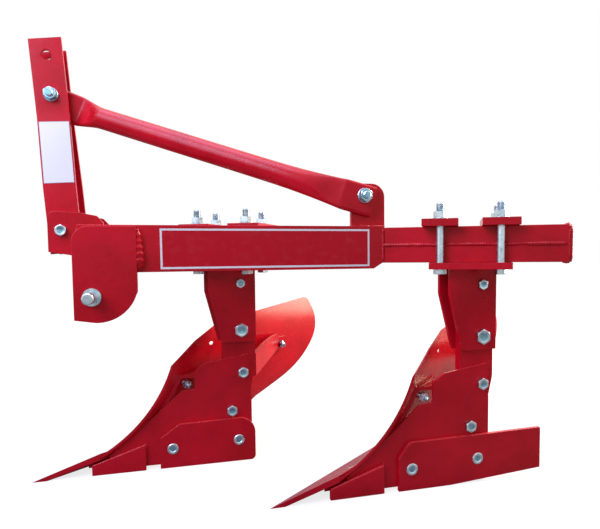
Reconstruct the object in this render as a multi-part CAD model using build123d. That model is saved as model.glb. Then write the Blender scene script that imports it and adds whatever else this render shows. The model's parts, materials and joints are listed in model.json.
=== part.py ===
from build123d import *
from math import atan2, cos, degrees, radians, sin, sqrt, tan
import os

# A tractor-mounted moldboard plough with two right-turning bottoms on a diagonal beam.
# Millimetres. +X runs to the rear, +Y to the machine's right (the furrow side), +Z up.
# While it is built, x = 0 is the front leg's pivot bolt, y = 0 the front landside's outer face and
# z = 0 the ground. At the end everything moves so that the origin is the middle of the box's base.

os.makedirs("parts", exist_ok=True)

# ---------------------------------------------------------------- driving dimensions
# frame
BEAM_TOP = 728.0            # top of all three beams above the ground
MAIN_BEAM = 100.0           # main beam, square, two channels welded toe to toe
MAIN_WALL = 8.0
BEAM_ANGLE = 28.7           # between the main beam and the direction of travel, degrees
CUT_WIDTH = 350.0           # furrow width: how far the rear bottom stands to the left of the front one
BEAM_OVERHANG = 255.0       # main beam behind the rear clamp's middle
CAP_THICKNESS = 8.0
SIDE_BEAM_HEIGHT = 120.0    # the fore-and-aft beam on the left
SIDE_BEAM_WIDTH = 60.0
SIDE_BEAM_WALL = 6.0
SIDE_BEAM_Y = -245.0        # its left face
SIDE_BEAM_RISE = 4.0        # its top above the main beam's
CROSS_BEAM = 100.0
CROSS_BEAM_FRONT = -436.0
CROSS_BEAM_WALL = 8.0

# three-point hitch
PIN_SPREAD = 825.0          # between the lower pins' shoulders
PIN_X = -391.0
PIN_Z = 553.0
PIN_DIAMETER = 28.0
PIN_LENGTH = 62.0
COLLAR_DIAMETER = 44.0
COLLAR_LENGTH = 8.0
LINCH_HOLE = 11.0
LINCH_FROM_END = 14.0
HITCH_PLATE = 15.0          # thickness
LEFT_PLATE_WIDTH = 150.0
RIGHT_PLATE_WIDTH = 88.0
PLATE_BELOW_PIN = 65.0
MAST_HEIGHT = 698.0         # upper hole above the lower pins
MAST_GAP = 52.0             # clevis for the top link
MAST_FOOT_GAP = 105.0
MAST_BAR = 12.0
MAST_BAR_WIDTH = 90.0
MAST_LEAN = 3.9             # forward, degrees
MAST_FOOT_X = -513.0        # the mast leans about this point
FOOT_BOLT_X = -520.0
MAST_FOOT_Z = 731.0
MAST_TOP_HOLE = 30.0
MAST_TOP_MARGIN = 50.0      # left bar above the upper hole
MAST_RIGHT_SHORTER = 17.0   # the right bar is cut this much lower
MAST_TOP_TILT = 4.8         # the sawn tops are not quite square, degrees
MAST_FOOT_MARGIN = 68.0     # bar below the foot bolt
MAST_BEND_LOW = 860.0
MAST_BEND_HIGH = 1068.0
STAY_BELOW_HOLE = 115.0
EAR_THICKNESS = 12.0
EAR_ON_BEAM = 34.0          # how far the ears reach over the cross beam
FOOT_BOLT = 20.0
STAY_BOLT = 22.0

# stay pipe and its lug
STAY_PIPE = 63.0
STAY_PADDLE = 16.0          # thickness of the pipe where it is pressed flat
STAY_FRONT_WIDTH = 92.0     # height of the flat at the mast
STAY_REAR_WIDTH = 87.0      # height of the flat at the lug
STAY_FRONT_FLAT = 82.0      # length of the flat behind the mast's bolt
STAY_FRONT_FADE = 90.0      # from there to the full pipe
STAY_REAR_FLAT = 62.0
STAY_REAR_FADE = 120.0
STAY_REAR_LONG_FADE = 400.0
STAY_PADDLE_END = 29.0      # flat beyond the bolt
STAY_REAR_PITCH = 14.0      # the rear flat slopes less than the pipe, degrees
STAY_PADDLE_CORNER = 5.0
STAY_FRONT_RISE = 10.0      # the mast's bolt is this much above the flat's middle
STAY_REAR_RISE = 11.0       # and the lug's bolt this much
LUG_X = 342.5
LUG_HEIGHT = 122.0
LUG_WIDTH = 101.0
LUG_THICKNESS = 15.0
LUG_BOLT_X = 327.0
LUG_BOLT_HEIGHT = 86.0
LUG_CORNER = 38.0

# clamps that hold the standards on the main beam
CLAMP_BOLT = 22.0
CLAMP_BOLT_ALONG = 160.0    # bolt spacing along the beam
CLAMP_BOLT_GAP = 5.0        # between a bolt and the beam's side
CLAMP_TOP_PLATE = 20.0
CLAMP_TOP_WIDTH = 98.0
CLAMP_CROSS_LENGTH = 190.0
CLAMP_LOW_PLATE = 18.0
CLAMP_LOW_LENGTH = 218.0
CLAMP_HEAD = 14.0
CLAMP_NUT = 18.0
CLAMP_ACROSS_FLATS = 32.0
CLAMP_BOLT_END = 22.0       # thread above the nut
WASHER = 3.0

# standards and legs, measured from the pivot bolt and the landside face
CHEEK = 12.0
CHEEK_NEAR_Y = 8.0
CHEEK_REAR_X = 46.0
CHEEK_FRONT_X = -100.0
CHEEK_FOOT_X = -60.0
RIGHT_CHEEK_WIDER = 10.0    # the right cheek reaches this much further forward
CHEEK_KNEE_Z = 540.0
CHEEK_BOTTOM_Z = 380.0
PIVOT_Z = 418.0
PIVOT_BOLT = 24.0
SHEAR_Z = 565.0
SHEAR_BOLT = 16.0
SHANK = 28.0
SHANK_CLEARANCE = 1.0       # each side, between shank and cheeks
SHANK_TOP_Z = 595.0
SHANK_FRONT_X = -60.0
SHANK_REAR_X = 44.0
SHANK_FOOT_Z = 110.0
RUNNING = 0.05              # radial clearance of a pin that turns

LANDSIDE = 12.0
LANDSIDE_HEIGHT = 140.0
LANDSIDE_FRONT_X = -254.0
LANDSIDE_REAR_FRONT_LEG = 38.0
LANDSIDE_REAR_REAR_LEG = 193.0
HEEL_LIFT = 20.0            # the rear landside's lower edge rises to its heel
HEEL_START_X = -100.0       # from here
FROG_PLATE = SHANK_CLEARANCE + CHEEK_NEAR_Y + CHEEK - LANDSIDE
LEG_BOLT = 20.0
PLOUGH_BOLT_HEAD = 33.0

# share and moldboard
GENERATRIX = 40.0           # angle of the share's edge to the direction of travel, degrees
SHARE_TIP_X = -613.0
SHARE_JOINT_X = -424.0
SHARE_JOINT_Z = 60.0
SHARE_WIDTH = 360.0
SHARE_THICKNESS = 13.0
SHARE_LIP = 6.5             # the share stands this much proud of the moldboard at their joint
MOLD_THICKNESS = 8.0
MOLD_SPAN = 520.0           # the second of the two arcs that rule the surface stands at this y
MOLD_TOP_Z = 500.0
WING_CURL = 60.0            # how far the wing's arc leans forward at its top

# ---------------------------------------------------------------- worked out from these
MAIN_BOTTOM = BEAM_TOP - MAIN_BEAM
BEAM_SLOPE = tan(radians(BEAM_ANGLE))
STEP_X = CUT_WIDTH / BEAM_SLOPE
LOW_PLATE_BOTTOM = MAIN_BOTTOM - CLAMP_LOW_PLATE
CHEEK_FAR_Y = CHEEK_NEAR_Y + CHEEK + SHANK + 2 * SHANK_CLEARANCE
SHANK_NEAR_Y = CHEEK_NEAR_Y + CHEEK + SHANK_CLEARANCE
SHANK_FAR_Y = SHANK_NEAR_Y + SHANK
LEG_MIDDLE_Y = SHANK_NEAR_Y + SHANK / 2
CLAMP_X = -25.0             # clamp's middle, from the pivot bolt
SIDE_BEAM_TOP = BEAM_TOP + SIDE_BEAM_RISE
PLATE_OUTER_Y = SIDE_BEAM_Y - HITCH_PLATE
LEFT_SHOULDER_Y = PLATE_OUTER_Y - COLLAR_LENGTH
RIGHT_SHOULDER_Y = LEFT_SHOULDER_Y + PIN_SPREAD
MAST_Y = (LEFT_SHOULDER_Y + RIGHT_SHOULDER_Y) / 2
SHARE_SLOPE = SHARE_JOINT_Z / (SHARE_JOINT_X - SHARE_TIP_X)
RUN = 1 / tan(radians(GENERATRIX))   # how far a generatrix runs back for each mm to the right
MAST_TOP_HOLE_Z = PIN_Z + MAST_HEIGHT
STAY_BOLT_Z = MAST_TOP_HOLE_Z - STAY_BELOW_HOLE

nodes = {}


# ---------------------------------------------------------------- helpers
def outline_face(corners):
    """A face from corners (x, z) or (x, z, radius), drawn flat."""
    face = make_face(Polyline(*[(c[0], c[1]) for c in corners], close=True))
    for corner in corners:
        if len(corner) == 3:
            spot = Vector(corner[0], corner[1], 0)
            near = min(face.vertices(), key=lambda v: (Vector(v.X, v.Y, v.Z) - spot).length)
            face = fillet(near, corner[2])
    return face


def upright(corners, y, thickness):
    """A plate that stands along the travel direction, from y to y + thickness."""
    solid = extrude(outline_face(corners), thickness)
    return Plane(origin=(0, y + thickness, 0), x_dir=(1, 0, 0), z_dir=(0, -1, 0)) * solid


def box(x0, x1, y0, y1, z0, z1):
    middle = ((x0 + x1) / 2, (y0 + y1) / 2, (z0 + z1) / 2)
    return Pos(*middle) * Box(x1 - x0, y1 - y0, z1 - z0)


def rod(start, end, diameter):
    start, end = Vector(*start), Vector(*end)
    run = end - start
    plane = Plane(origin=start, z_dir=run)
    return plane * Pos(0, 0, run.length / 2) * Cylinder(diameter / 2, run.length)


def hexagon(start, end, across_flats):
    start, end = Vector(*start), Vector(*end)
    run = end - start
    turned = (0, 0, 1) if abs(run.Z) < abs(run.Y) else (1, 0, 0)
    plane = Plane(origin=start, x_dir=turned, z_dir=run)
    return plane * extrude(RegularPolygon(across_flats / 2, 6, major_radius=False), run.length)


def cross_bolt(x, z, y_head, y_nut, diameter, across_flats, step=-1):
    """A hex bolt along Y: its head outside y_head, its washer and nut outside y_nut."""
    head, nut, end = 0.62 * diameter, 0.8 * diameter, 0.35 * diameter
    tip = y_nut - step * (WASHER + nut + end)
    bolt = rod((x, y_head, z), (x, tip, z), diameter)
    bolt += hexagon((x, y_head, z), (x, y_head + step * head, z), across_flats)
    bolt += rod((x, y_nut, z), (x, y_nut - step * WASHER, z), 1.25 * across_flats)
    bolt += hexagon((x, y_nut - step * WASHER, z), (x, y_nut - step * (WASHER + nut), z), across_flats)
    return bolt


def drilled(solid, holes, y0, y1):
    """Holes (x, z, diameter) along Y from y0 to y1."""
    for x, z, diameter in holes:
        solid -= rod((x, y0, z), (x, y1, z), diameter)
    return solid


def on_beam(solid, clamp_x):
    """From the clamp's own frame (x along the main beam) to its place on the beam."""
    return Pos(clamp_x, beam_y(clamp_x), 0) * Rot(0, 0, -BEAM_ANGLE) * solid


def beam_y(x):
    """y of the main beam's middle line at x."""
    return LEG_MIDDLE_Y - BEAM_SLOPE * (x - CLAMP_X)


# ---------------------------------------------------------------- beams
def make_main_beam():
    """Runs from the cross beam's back to its cap, through both clamps."""
    front = CROSS_BEAM_FRONT + CROSS_BEAM
    rear_clamp = CLAMP_X + STEP_X
    start = (CLAMP_X - front) / cos(radians(BEAM_ANGLE)) + MAIN_BEAM
    stop = (rear_clamp - CLAMP_X) / cos(radians(BEAM_ANGLE)) + BEAM_OVERHANG
    half = MAIN_BEAM / 2
    hollow = half - MAIN_WALL
    beam = box(-start, stop, -half, half, MAIN_BOTTOM, BEAM_TOP)
    beam -= box(-start, stop, -hollow, hollow, MAIN_BOTTOM + MAIN_WALL, BEAM_TOP - MAIN_WALL)
    beam = on_beam(beam, CLAMP_X)
    beam -= box(front - 400, front, -600, 900, MAIN_BOTTOM - 10, BEAM_TOP + 10)
    cap = box(stop, stop + CAP_THICKNESS, -half, half, MAIN_BOTTOM, BEAM_TOP)
    cap = chamfer(cap.edges().filter_by(Axis.X), 12)
    return beam, on_beam(cap, CLAMP_X)


def make_side_beam():
    """Butts on the main beam's left side, mitred to its angle; the lower rear corner is cut off."""
    top, bottom = SIDE_BEAM_TOP, SIDE_BEAM_TOP - SIDE_BEAM_HEIGHT
    front = CROSS_BEAM_FRONT + 12
    inner = SIDE_BEAM_Y + SIDE_BEAM_WIDTH
    wall = SIDE_BEAM_WALL
    half = MAIN_BEAM / 2
    nose_x = CLAMP_X + (LEG_MIDDLE_Y - SIDE_BEAM_Y) / BEAM_SLOPE - half / sin(radians(BEAM_ANGLE))
    end = nose_x + 40
    beam = box(front, end, SIDE_BEAM_Y, inner, bottom, top)
    beam -= box(front + wall, end - 250, SIDE_BEAM_Y + wall, inner - wall, bottom + wall, top - wall)
    beam -= on_beam(box(-900, 1500, -half, half + 300, bottom - 5, top + 5), CLAMP_X)
    drop = MAIN_BOTTOM - bottom
    corner = [(nose_x - 2 * drop, bottom - 1), (nose_x + 20, bottom - 1), (nose_x + 20, MAIN_BOTTOM)]
    return beam - upright(corner + [(nose_x - 4, MAIN_BOTTOM)], SIDE_BEAM_Y - 5, SIDE_BEAM_WIDTH + 10)


def make_cross_beam():
    left = SIDE_BEAM_Y + SIDE_BEAM_WIDTH
    right = RIGHT_SHOULDER_Y - COLLAR_LENGTH - HITCH_PLATE
    front, back = CROSS_BEAM_FRONT, CROSS_BEAM_FRONT + CROSS_BEAM
    low = BEAM_TOP - CROSS_BEAM
    wall = CROSS_BEAM_WALL
    beam = box(front, back, left, right, low, BEAM_TOP)
    return beam - box(front + wall, back - wall, left, right, low + wall, BEAM_TOP - wall)


# ---------------------------------------------------------------- hitch
def make_hitch_plate(inner_y, width, x_front, corner_radius):
    low = PIN_Z - PLATE_BELOW_PIN
    corners = [
        (x_front, low + 8),
        (x_front, BEAM_TOP, 40),
        (x_front + width, BEAM_TOP),
        (x_front + width, low, corner_radius),
        (x_front + 50, low),
    ]
    plate = upright(corners, inner_y, HITCH_PLATE)
    return drilled(plate, [(PIN_X, PIN_Z, PIN_DIAMETER)], inner_y - 50, inner_y + 50)


def make_lower_pin(shoulder_y, outward):
    """Pin, collar, and the nut inside the plate."""
    plate_y = shoulder_y - outward * COLLAR_LENGTH
    inside_y = plate_y - outward * HITCH_PLATE
    tip_y = shoulder_y + outward * PIN_LENGTH
    nut_end = inside_y - outward * 0.75 * PIN_DIAMETER
    pin = rod((PIN_X, nut_end, PIN_Z), (PIN_X, tip_y, PIN_Z), PIN_DIAMETER)
    pin = chamfer(pin.edges().sort_by(Axis.Y)[0 if outward < 0 else -1], 2.5)
    pin += rod((PIN_X, plate_y, PIN_Z), (PIN_X, shoulder_y, PIN_Z), COLLAR_DIAMETER)
    pin += hexagon((PIN_X, inside_y, PIN_Z), (PIN_X, nut_end, PIN_Z), 1.5 * PIN_DIAMETER)
    hole_y = tip_y - outward * LINCH_FROM_END
    return pin - rod((PIN_X, hole_y, PIN_Z - 40), (PIN_X, hole_y, PIN_Z + 40), LINCH_HOLE)


def lean(solid):
    """The mast leans forward about its foot bolts."""
    foot = Pos(MAST_FOOT_X, 0, MAST_FOOT_Z)
    return foot * Rot(0, -MAST_LEAN, 0) * foot.inverse() * solid


def lean_x(z):
    return MAST_FOOT_X - tan(radians(MAST_LEAN)) * (z - MAST_FOOT_Z)


def make_mast_bar(side):
    """A flat bar with one joggle; side is -1 for the left bar and +1 for the right."""
    z_top = MAST_TOP_HOLE_Z + MAST_TOP_MARGIN - (MAST_RIGHT_SHORTER if side > 0 else 0)
    z_foot = MAST_FOOT_Z - MAST_FOOT_MARGIN
    inner = [
        (MAST_GAP / 2, z_top + 10),
        (MAST_GAP / 2, MAST_BEND_HIGH),
        (MAST_FOOT_GAP / 2, MAST_BEND_LOW),
        (MAST_FOOT_GAP / 2, z_foot),
    ]
    outer = [(y + MAST_BAR, z) for y, z in reversed(inner)]
    face = make_face(Polyline(*[(side * y, z) for y, z in inner + outer], close=True))
    bar = extrude(face, MAST_BAR_WIDTH)
    stand = Plane(origin=(MAST_FOOT_X - MAST_BAR_WIDTH / 2, MAST_Y, 0), x_dir=(0, 1, 0), z_dir=(1, 0, 0))
    bar = stand * bar
    bar -= Pos(MAST_FOOT_X, MAST_Y, z_top) * Rot(0, -MAST_TOP_TILT, 0) * Pos(0, 0, 50) * Box(200, 300, 100)
    bar = lean(bar)
    holes = [
        (lean_x(MAST_TOP_HOLE_Z), MAST_TOP_HOLE_Z, MAST_TOP_HOLE),
        (lean_x(STAY_BOLT_Z), STAY_BOLT_Z, STAY_BOLT),
        (FOOT_BOLT_X, MAST_FOOT_Z, FOOT_BOLT),
    ]
    return drilled(bar, holes, MAST_Y - 150, MAST_Y + 150)


def make_mast_ear(side):
    """Ear plate beside the mast's foot, notched over the cross beam and welded to it."""
    inner = MAST_FOOT_GAP / 2 + MAST_BAR
    y = MAST_Y + inner if side > 0 else MAST_Y - inner - EAR_THICKNESS
    back = CROSS_BEAM_FRONT + EAR_ON_BEAM
    front = MAST_FOOT_X - 44
    corners = [
        (front, MAST_FOOT_Z + 58, 22),
        (CROSS_BEAM_FRONT - 30, MAST_FOOT_Z + 53),
        (back - 18, MAST_FOOT_Z + 44),
        (back, MAST_FOOT_Z + 24),
        (back, BEAM_TOP),
        (CROSS_BEAM_FRONT, BEAM_TOP),
        (CROSS_BEAM_FRONT, MAST_FOOT_Z - 84),
        (front, MAST_FOOT_Z - 64),
    ]
    ear = upright(corners, y, EAR_THICKNESS)
    return drilled(ear, [(FOOT_BOLT_X, MAST_FOOT_Z, FOOT_BOLT)], MAST_Y - 150, MAST_Y + 150)


def make_foot_bolt(side):
    outer = MAST_Y + side * (MAST_FOOT_GAP / 2 + MAST_BAR + EAR_THICKNESS)
    inner = MAST_Y + side * MAST_FOOT_GAP / 2
    return cross_bolt(FOOT_BOLT_X, MAST_FOOT_Z, outer, inner, FOOT_BOLT, 1.5 * FOOT_BOLT, side)


def make_stay_bolt():
    """Through both mast bars and the stay's end, with a spacer sleeve each side of it."""
    x = lean_x(STAY_BOLT_Z)
    half = MAST_GAP / 2
    bolt = cross_bolt(x, STAY_BOLT_Z, MAST_Y + half + MAST_BAR, MAST_Y - half - MAST_BAR,
                      STAY_BOLT, 1.5 * STAY_BOLT, 1)
    for side in (-1, 1):
        bolt += rod((x, MAST_Y + side * STAY_PADDLE / 2, STAY_BOLT_Z),
                    (x, MAST_Y + side * half, STAY_BOLT_Z), 1.6 * STAY_BOLT)
    return bolt


# ---------------------------------------------------------------- stay
LUG_Y = SIDE_BEAM_Y + SIDE_BEAM_WIDTH / 2 - LUG_THICKNESS / 2
LUG_BOLT_Z = SIDE_BEAM_TOP + LUG_BOLT_HEIGHT
STAY_REAR_Y = LUG_Y - STAY_PADDLE / 2


def make_lug():
    corners = [
        (LUG_X - LUG_WIDTH / 2, SIDE_BEAM_TOP),
        (LUG_X - LUG_WIDTH / 2, SIDE_BEAM_TOP + LUG_HEIGHT, LUG_CORNER),
        (LUG_X + LUG_WIDTH / 2, SIDE_BEAM_TOP + LUG_HEIGHT, LUG_CORNER),
        (LUG_X + LUG_WIDTH / 2, SIDE_BEAM_TOP),
    ]
    lug = upright(corners, LUG_Y, LUG_THICKNESS)
    return drilled(lug, [(LUG_BOLT_X, LUG_BOLT_Z, STAY_BOLT)], LUG_Y - 50, LUG_Y + 50)


def make_stay():
    """A pipe between two bolts, pressed flat at both ends."""
    front_bolt = Vector(lean_x(STAY_BOLT_Z), MAST_Y, STAY_BOLT_Z)
    rear_bolt = Vector(LUG_BOLT_X, STAY_REAR_Y, LUG_BOLT_Z)
    front = front_bolt - Vector(0, 0, STAY_FRONT_RISE)
    rear = rear_bolt - Vector(0, 0, STAY_REAR_RISE)
    flat_run = Vector(rear.X - front.X, 0, rear.Z - front.Z).normalized()
    rear_run = Vector(cos(radians(STAY_REAR_PITCH)), 0, -sin(radians(STAY_REAR_PITCH)))
    start = front + flat_run * STAY_FRONT_FLAT
    stop = rear - rear_run * STAY_REAR_FLAT
    axis = (stop - start).normalized()
    # sections: centre, direction, height, width
    sections = [
        (start, flat_run, STAY_FRONT_WIDTH, STAY_PADDLE),
        (start + axis * STAY_FRONT_FADE, axis, STAY_PIPE, STAY_PIPE),
        (stop - axis * STAY_REAR_LONG_FADE, axis, 1.03 * STAY_PIPE, 0.96 * STAY_PIPE),
        (stop - axis * STAY_REAR_FADE, axis, 1.15 * STAY_PIPE, 0.78 * STAY_PIPE),
        (stop, rear_run, STAY_REAR_WIDTH, STAY_PADDLE),
    ]
    faces = []
    for centre, direction, height, width in sections:
        plane = Plane(origin=centre, x_dir=direction.cross(Vector(0, 0, 1)), z_dir=direction)
        faces.append(plane * Ellipse(width / 2, height / 2))
    stay = loft(faces[:2], ruled=True)
    for first, second in zip(faces[1:], faces[2:]):
        stay += loft([first, second], ruled=True)
    blades = [(front, start, flat_run, -1, STAY_FRONT_WIDTH), (rear, stop, rear_run, 1, STAY_REAR_WIDTH)]
    for end, inner, way, sign, height in blades:
        turned = Plane(origin=end, x_dir=way, z_dir=(0, -1, 0))
        reach = (inner - end).length + 3
        blade = Box(reach + STAY_PADDLE_END, height, STAY_PADDLE)
        blade = fillet(blade.edges().filter_by(Axis.Z), STAY_PADDLE_CORNER)
        stay += turned * Pos(sign * (STAY_PADDLE_END - reach) / 2, 0, 0) * blade
    for bolt in (front_bolt, rear_bolt):
        across = Vector(0, 40, 0)
        stay -= rod(bolt - across, bolt + across, STAY_BOLT)
    return stay


def make_lug_bolt():
    """Its nut is on the left."""
    return cross_bolt(LUG_BOLT_X, LUG_BOLT_Z, LUG_Y + LUG_THICKNESS, LUG_Y - STAY_PADDLE,
                      STAY_BOLT, 1.5 * STAY_BOLT, 1)


# ---------------------------------------------------------------- clamps and standards
def clamp_bolt_spots():
    across = MAIN_BEAM / 2 + CLAMP_BOLT_GAP + CLAMP_BOLT / 2
    return [(s * CLAMP_BOLT_ALONG / 2, c * across) for s in (-1, 1) for c in (-1, 1)]


def make_clamp(clamp_x):
    """Two top plates, the lower plate and four long bolts, in the beam's own direction."""
    low = LOW_PLATE_BOTTOM
    top = BEAM_TOP + CLAMP_TOP_PLATE
    half = CLAMP_CROSS_LENGTH / 2
    top_plates = Part()
    for s in (-1, 1):
        middle = s * CLAMP_BOLT_ALONG / 2
        wide = CLAMP_TOP_WIDTH / 2
        top_plates += box(middle - wide, middle + wide, -half, half, BEAM_TOP, top)
    low_plate = box(-CLAMP_LOW_LENGTH / 2, CLAMP_LOW_LENGTH / 2, -half, half, low, MAIN_BOTTOM)
    bolts = Part()
    for s, c in clamp_bolt_spots():
        hole = Pos(s, c, (low + top) / 2) * Cylinder(CLAMP_BOLT / 2, top - low + 100)
        top_plates -= hole
        low_plate -= hole
        seat = top + WASHER
        bolt = rod((s, c, low - CLAMP_HEAD), (s, c, seat + CLAMP_NUT + CLAMP_BOLT_END), CLAMP_BOLT)
        bolt += hexagon((s, c, low), (s, c, low - CLAMP_HEAD), CLAMP_ACROSS_FLATS)
        bolt += rod((s, c, top), (s, c, seat), 1.25 * CLAMP_ACROSS_FLATS)
        bolt += hexagon((s, c, seat), (s, c, seat + CLAMP_NUT), CLAMP_ACROSS_FLATS)
        bolts += bolt
    return [on_beam(piece, clamp_x) for piece in (top_plates, low_plate, bolts)]


def make_cheek(y, wider=0.0):
    corners = [
        (CHEEK_FRONT_X - wider, LOW_PLATE_BOTTOM),
        (CHEEK_REAR_X, LOW_PLATE_BOTTOM),
        (CHEEK_REAR_X, CHEEK_BOTTOM_Z),
        (CHEEK_FOOT_X - wider, CHEEK_BOTTOM_Z),
        (CHEEK_FRONT_X - wider, CHEEK_KNEE_Z),
    ]
    holes = [(0, PIVOT_Z, PIVOT_BOLT), (0, SHEAR_Z, SHEAR_BOLT)]
    return drilled(upright(corners, y, CHEEK), holes, y - 5, y + CHEEK + 5)


def make_pivot_bolt():
    return cross_bolt(0, PIVOT_Z, CHEEK_NEAR_Y, CHEEK_FAR_Y + CHEEK, PIVOT_BOLT, 38)


def make_shear_bolt():
    """The ends that stay in the cheeks and the middle that goes with the shank."""
    whole = cross_bolt(0, SHEAR_Z, CHEEK_NEAR_Y, CHEEK_FAR_Y + CHEEK, SHEAR_BOLT, 26)
    near_cut, far_cut = CHEEK_NEAR_Y + CHEEK, CHEEK_FAR_Y
    ends = whole - box(-40, 40, near_cut, far_cut, SHEAR_Z - 40, SHEAR_Z + 40)
    core = rod((0, SHANK_NEAR_Y, SHEAR_Z), (0, SHANK_FAR_Y, SHEAR_Z), SHEAR_BOLT)
    return ends, core


# ---------------------------------------------------------------- the turning surface
# Two circles rule the surface with straight lines: one in the landside's plane (y = 0) and one at
# y = MOLD_SPAN. Each is through a low point, a middle point and a high point.
def circle_through(a, b, c):
    (ax, az), (bx, bz), (cx, cz) = a, b, c
    d = 2 * (ax * (bz - cz) + bx * (cz - az) + cx * (az - bz))
    ma, mb, mc = ax * ax + az * az, bx * bx + bz * bz, cx * cx + cz * cz
    x = (ma * (bz - cz) + mb * (cz - az) + mc * (az - bz)) / d
    z = (ma * (cx - bx) + mb * (ax - cx) + mc * (bx - ax)) / d
    return x, z, sqrt((ax - x) ** 2 + (az - z) ** 2)


SHIFT = RUN * MOLD_SPAN
SHIN = circle_through((SHARE_JOINT_X, SHARE_JOINT_Z), (-243, 250), (-196, 480))
WING = circle_through((SHARE_JOINT_X + SHIFT, SHARE_JOINT_Z), (-243 + SHIFT - 10, 250),
                      (-196 + SHIFT - WING_CURL, 480))


def arc_points(circle, radius_more, z_low, z_high):
    """Low, middle and high point of an arc, radius_more behind the circle."""
    x, z, radius = circle
    low, high = [atan2(h - z, sqrt(radius**2 - (h - z) ** 2)) for h in (z_low, z_high)]
    r = radius + radius_more
    return [(x + r * cos(a), z + r * sin(a)) for a in (low, (low + high) / 2, high)]


def ruled_band(front_more, back_more, z_low=SHARE_JOINT_Z, z_high=MOLD_TOP_Z, far=None):
    """The solid between two offsets of the surface; with far, everything before the back one."""
    faces = []
    for circle, y in ((SHIN, 0.0), (WING, MOLD_SPAN)):
        back = [Vector(x, y, z) for x, z in arc_points(circle, back_more, z_low, z_high)]
        edges = [ThreePointArc(*back)]
        if far is None:
            front = [Vector(x, y, z) for x, z in arc_points(circle, front_more, z_low, z_high)]
        else:
            front = [Vector(circle[0] - far, y, p.Z) for p in back]
        edges.append(Line(back[2], front[2]))
        edges.append(ThreePointArc(*reversed(front)) if far is None else Line(front[2], front[0]))
        edges.append(Line(front[0], back[0]))
        faces.append(make_face(edges))
    return loft(faces, ruled=True)


def surface_x(y, z):
    """x of the working face at y and z."""
    xs = [c[0] + sqrt(c[2] ** 2 - (z - c[1]) ** 2) for c in (SHIN, WING)]
    return xs[0] + (xs[1] - xs[0]) * y / MOLD_SPAN


def back_normal(y, z):
    """Unit vector out of the moldboard's back at y and z."""
    step = 1.0
    along = Vector(surface_x(y + step, z) - surface_x(y, z), step, 0)
    up = Vector(surface_x(y, z + step) - surface_x(y, z), 0, step)
    return along.cross(up).normalized()


# the moldboard's edge seen from the side: (x, z) or (x, z, radius)
MOLD_OUTLINE = [
    (SHARE_JOINT_X - 60, SHARE_JOINT_Z - 20),
    (SHARE_JOINT_X - 60, 262),
    (-270, 262),
    (-223, 311),
    (-143, 384, 20),
    (-74, 427, 40),
    (82, 452, 200),
    (318, 480, 28),
    (378, 364, 135),
    (283, 211, 340),
    (87, 112, 60),
    (SHARE_JOINT_X + RUN * SHARE_WIDTH, SHARE_JOINT_Z - 20),
]
SMALL_HOLE = (-90, 367)
SHIN_BOLT = (45.0, 259.0)     # y, z of the bolt by the shin
WING_BOLT = (330.0, 318.0)    # y, z of the bolt that holds the brace
MOLD_BOLT = 16.0


def surface_bolt_axis(y, z):
    spot = Vector(surface_x(y, z), y, z)
    return spot, back_normal(y, z)


def make_moldboard():
    band = ruled_band(0, MOLD_THICKNESS)
    board = band & upright(MOLD_OUTLINE, -1, MOLD_SPAN + 2)
    for y, z in (SHIN_BOLT, WING_BOLT):
        spot, out = surface_bolt_axis(y, z)
        board -= rod(spot - out * 30, spot + out * 40, MOLD_BOLT)
    board -= rod((SMALL_HOLE[0], -5, SMALL_HOLE[1]), (SMALL_HOLE[0], 200, SMALL_HOLE[1]), 12)
    return board


def share_block(drop_top, drop_bottom, x_grow=0.0):
    """The share's plan shape between two heights below its upper plane."""
    plan = [
        (SHARE_TIP_X - x_grow, 0.0),
        (SHARE_JOINT_X + x_grow, 0.0),
        (SHARE_JOINT_X + x_grow + RUN * SHARE_WIDTH, SHARE_WIDTH),
        (SHARE_TIP_X - x_grow + RUN * SHARE_WIDTH, SHARE_WIDTH),
    ]
    top = [Vector(x, y, SHARE_SLOPE * (x - RUN * y - SHARE_TIP_X) - drop_bottom) for x, y in plan]
    face = make_face(Polyline(*top, close=True))
    return extrude(face, amount=drop_bottom - drop_top, dir=(0, 0, 1))


def make_share():
    """A wedge-shaped blade, its underside ground to the floor along the cutting edge."""
    profile = [
        (SHARE_TIP_X, 0.0),
        (SHARE_JOINT_X, SHARE_JOINT_Z + SHARE_LIP),
        (SHARE_JOINT_X, SHARE_JOINT_Z - SHARE_THICKNESS),
        (SHARE_TIP_X, -SHARE_THICKNESS),
    ]
    ends = []
    for y in (0.0, SHARE_WIDTH):
        points = [Vector(x + RUN * y, y, z) for x, z in profile]
        ends.append(make_face(Polyline(*points, close=True)))
    share = loft(ends, ruled=True)
    return share - box(SHARE_TIP_X - 50, 400, -50, SHARE_WIDTH + 50, -60, 0)


def behind_surface(solid, gap=0.0):
    """What of a solid is behind the moldboard and under the share."""
    solid -= ruled_band(0, MOLD_THICKNESS + gap, far=700)
    return solid - share_block(-400, SHARE_THICKNESS + gap)


# ---------------------------------------------------------------- legs
LEG_BOLTS = [(4.0, 282.0), (-33.0, 162.0)]       # x, z of the hex bolts in the shank
PLOUGH_BOLTS = [(-14.0, 69.0), (-216.0, 60.0)]   # x, z of the flush bolts in the landside


def make_shank():
    corners = [
        (SHANK_FRONT_X, SHANK_TOP_Z),
        (SHANK_REAR_X, SHANK_TOP_Z),
        (SHANK_REAR_X, 300, 60),
        (30, 236, 60),
        (30, SHANK_FOOT_Z),
        (SHANK_FRONT_X, SHANK_FOOT_Z),
    ]
    holes = [(0, PIVOT_Z, PIVOT_BOLT + 2 * RUNNING), (0, SHEAR_Z, SHEAR_BOLT)]
    holes += [(x, z, LEG_BOLT) for x, z in LEG_BOLTS]
    return drilled(upright(corners, SHANK_NEAR_Y, SHANK), holes, SHANK_NEAR_Y - 5, SHANK_FAR_Y + 5)


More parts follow.
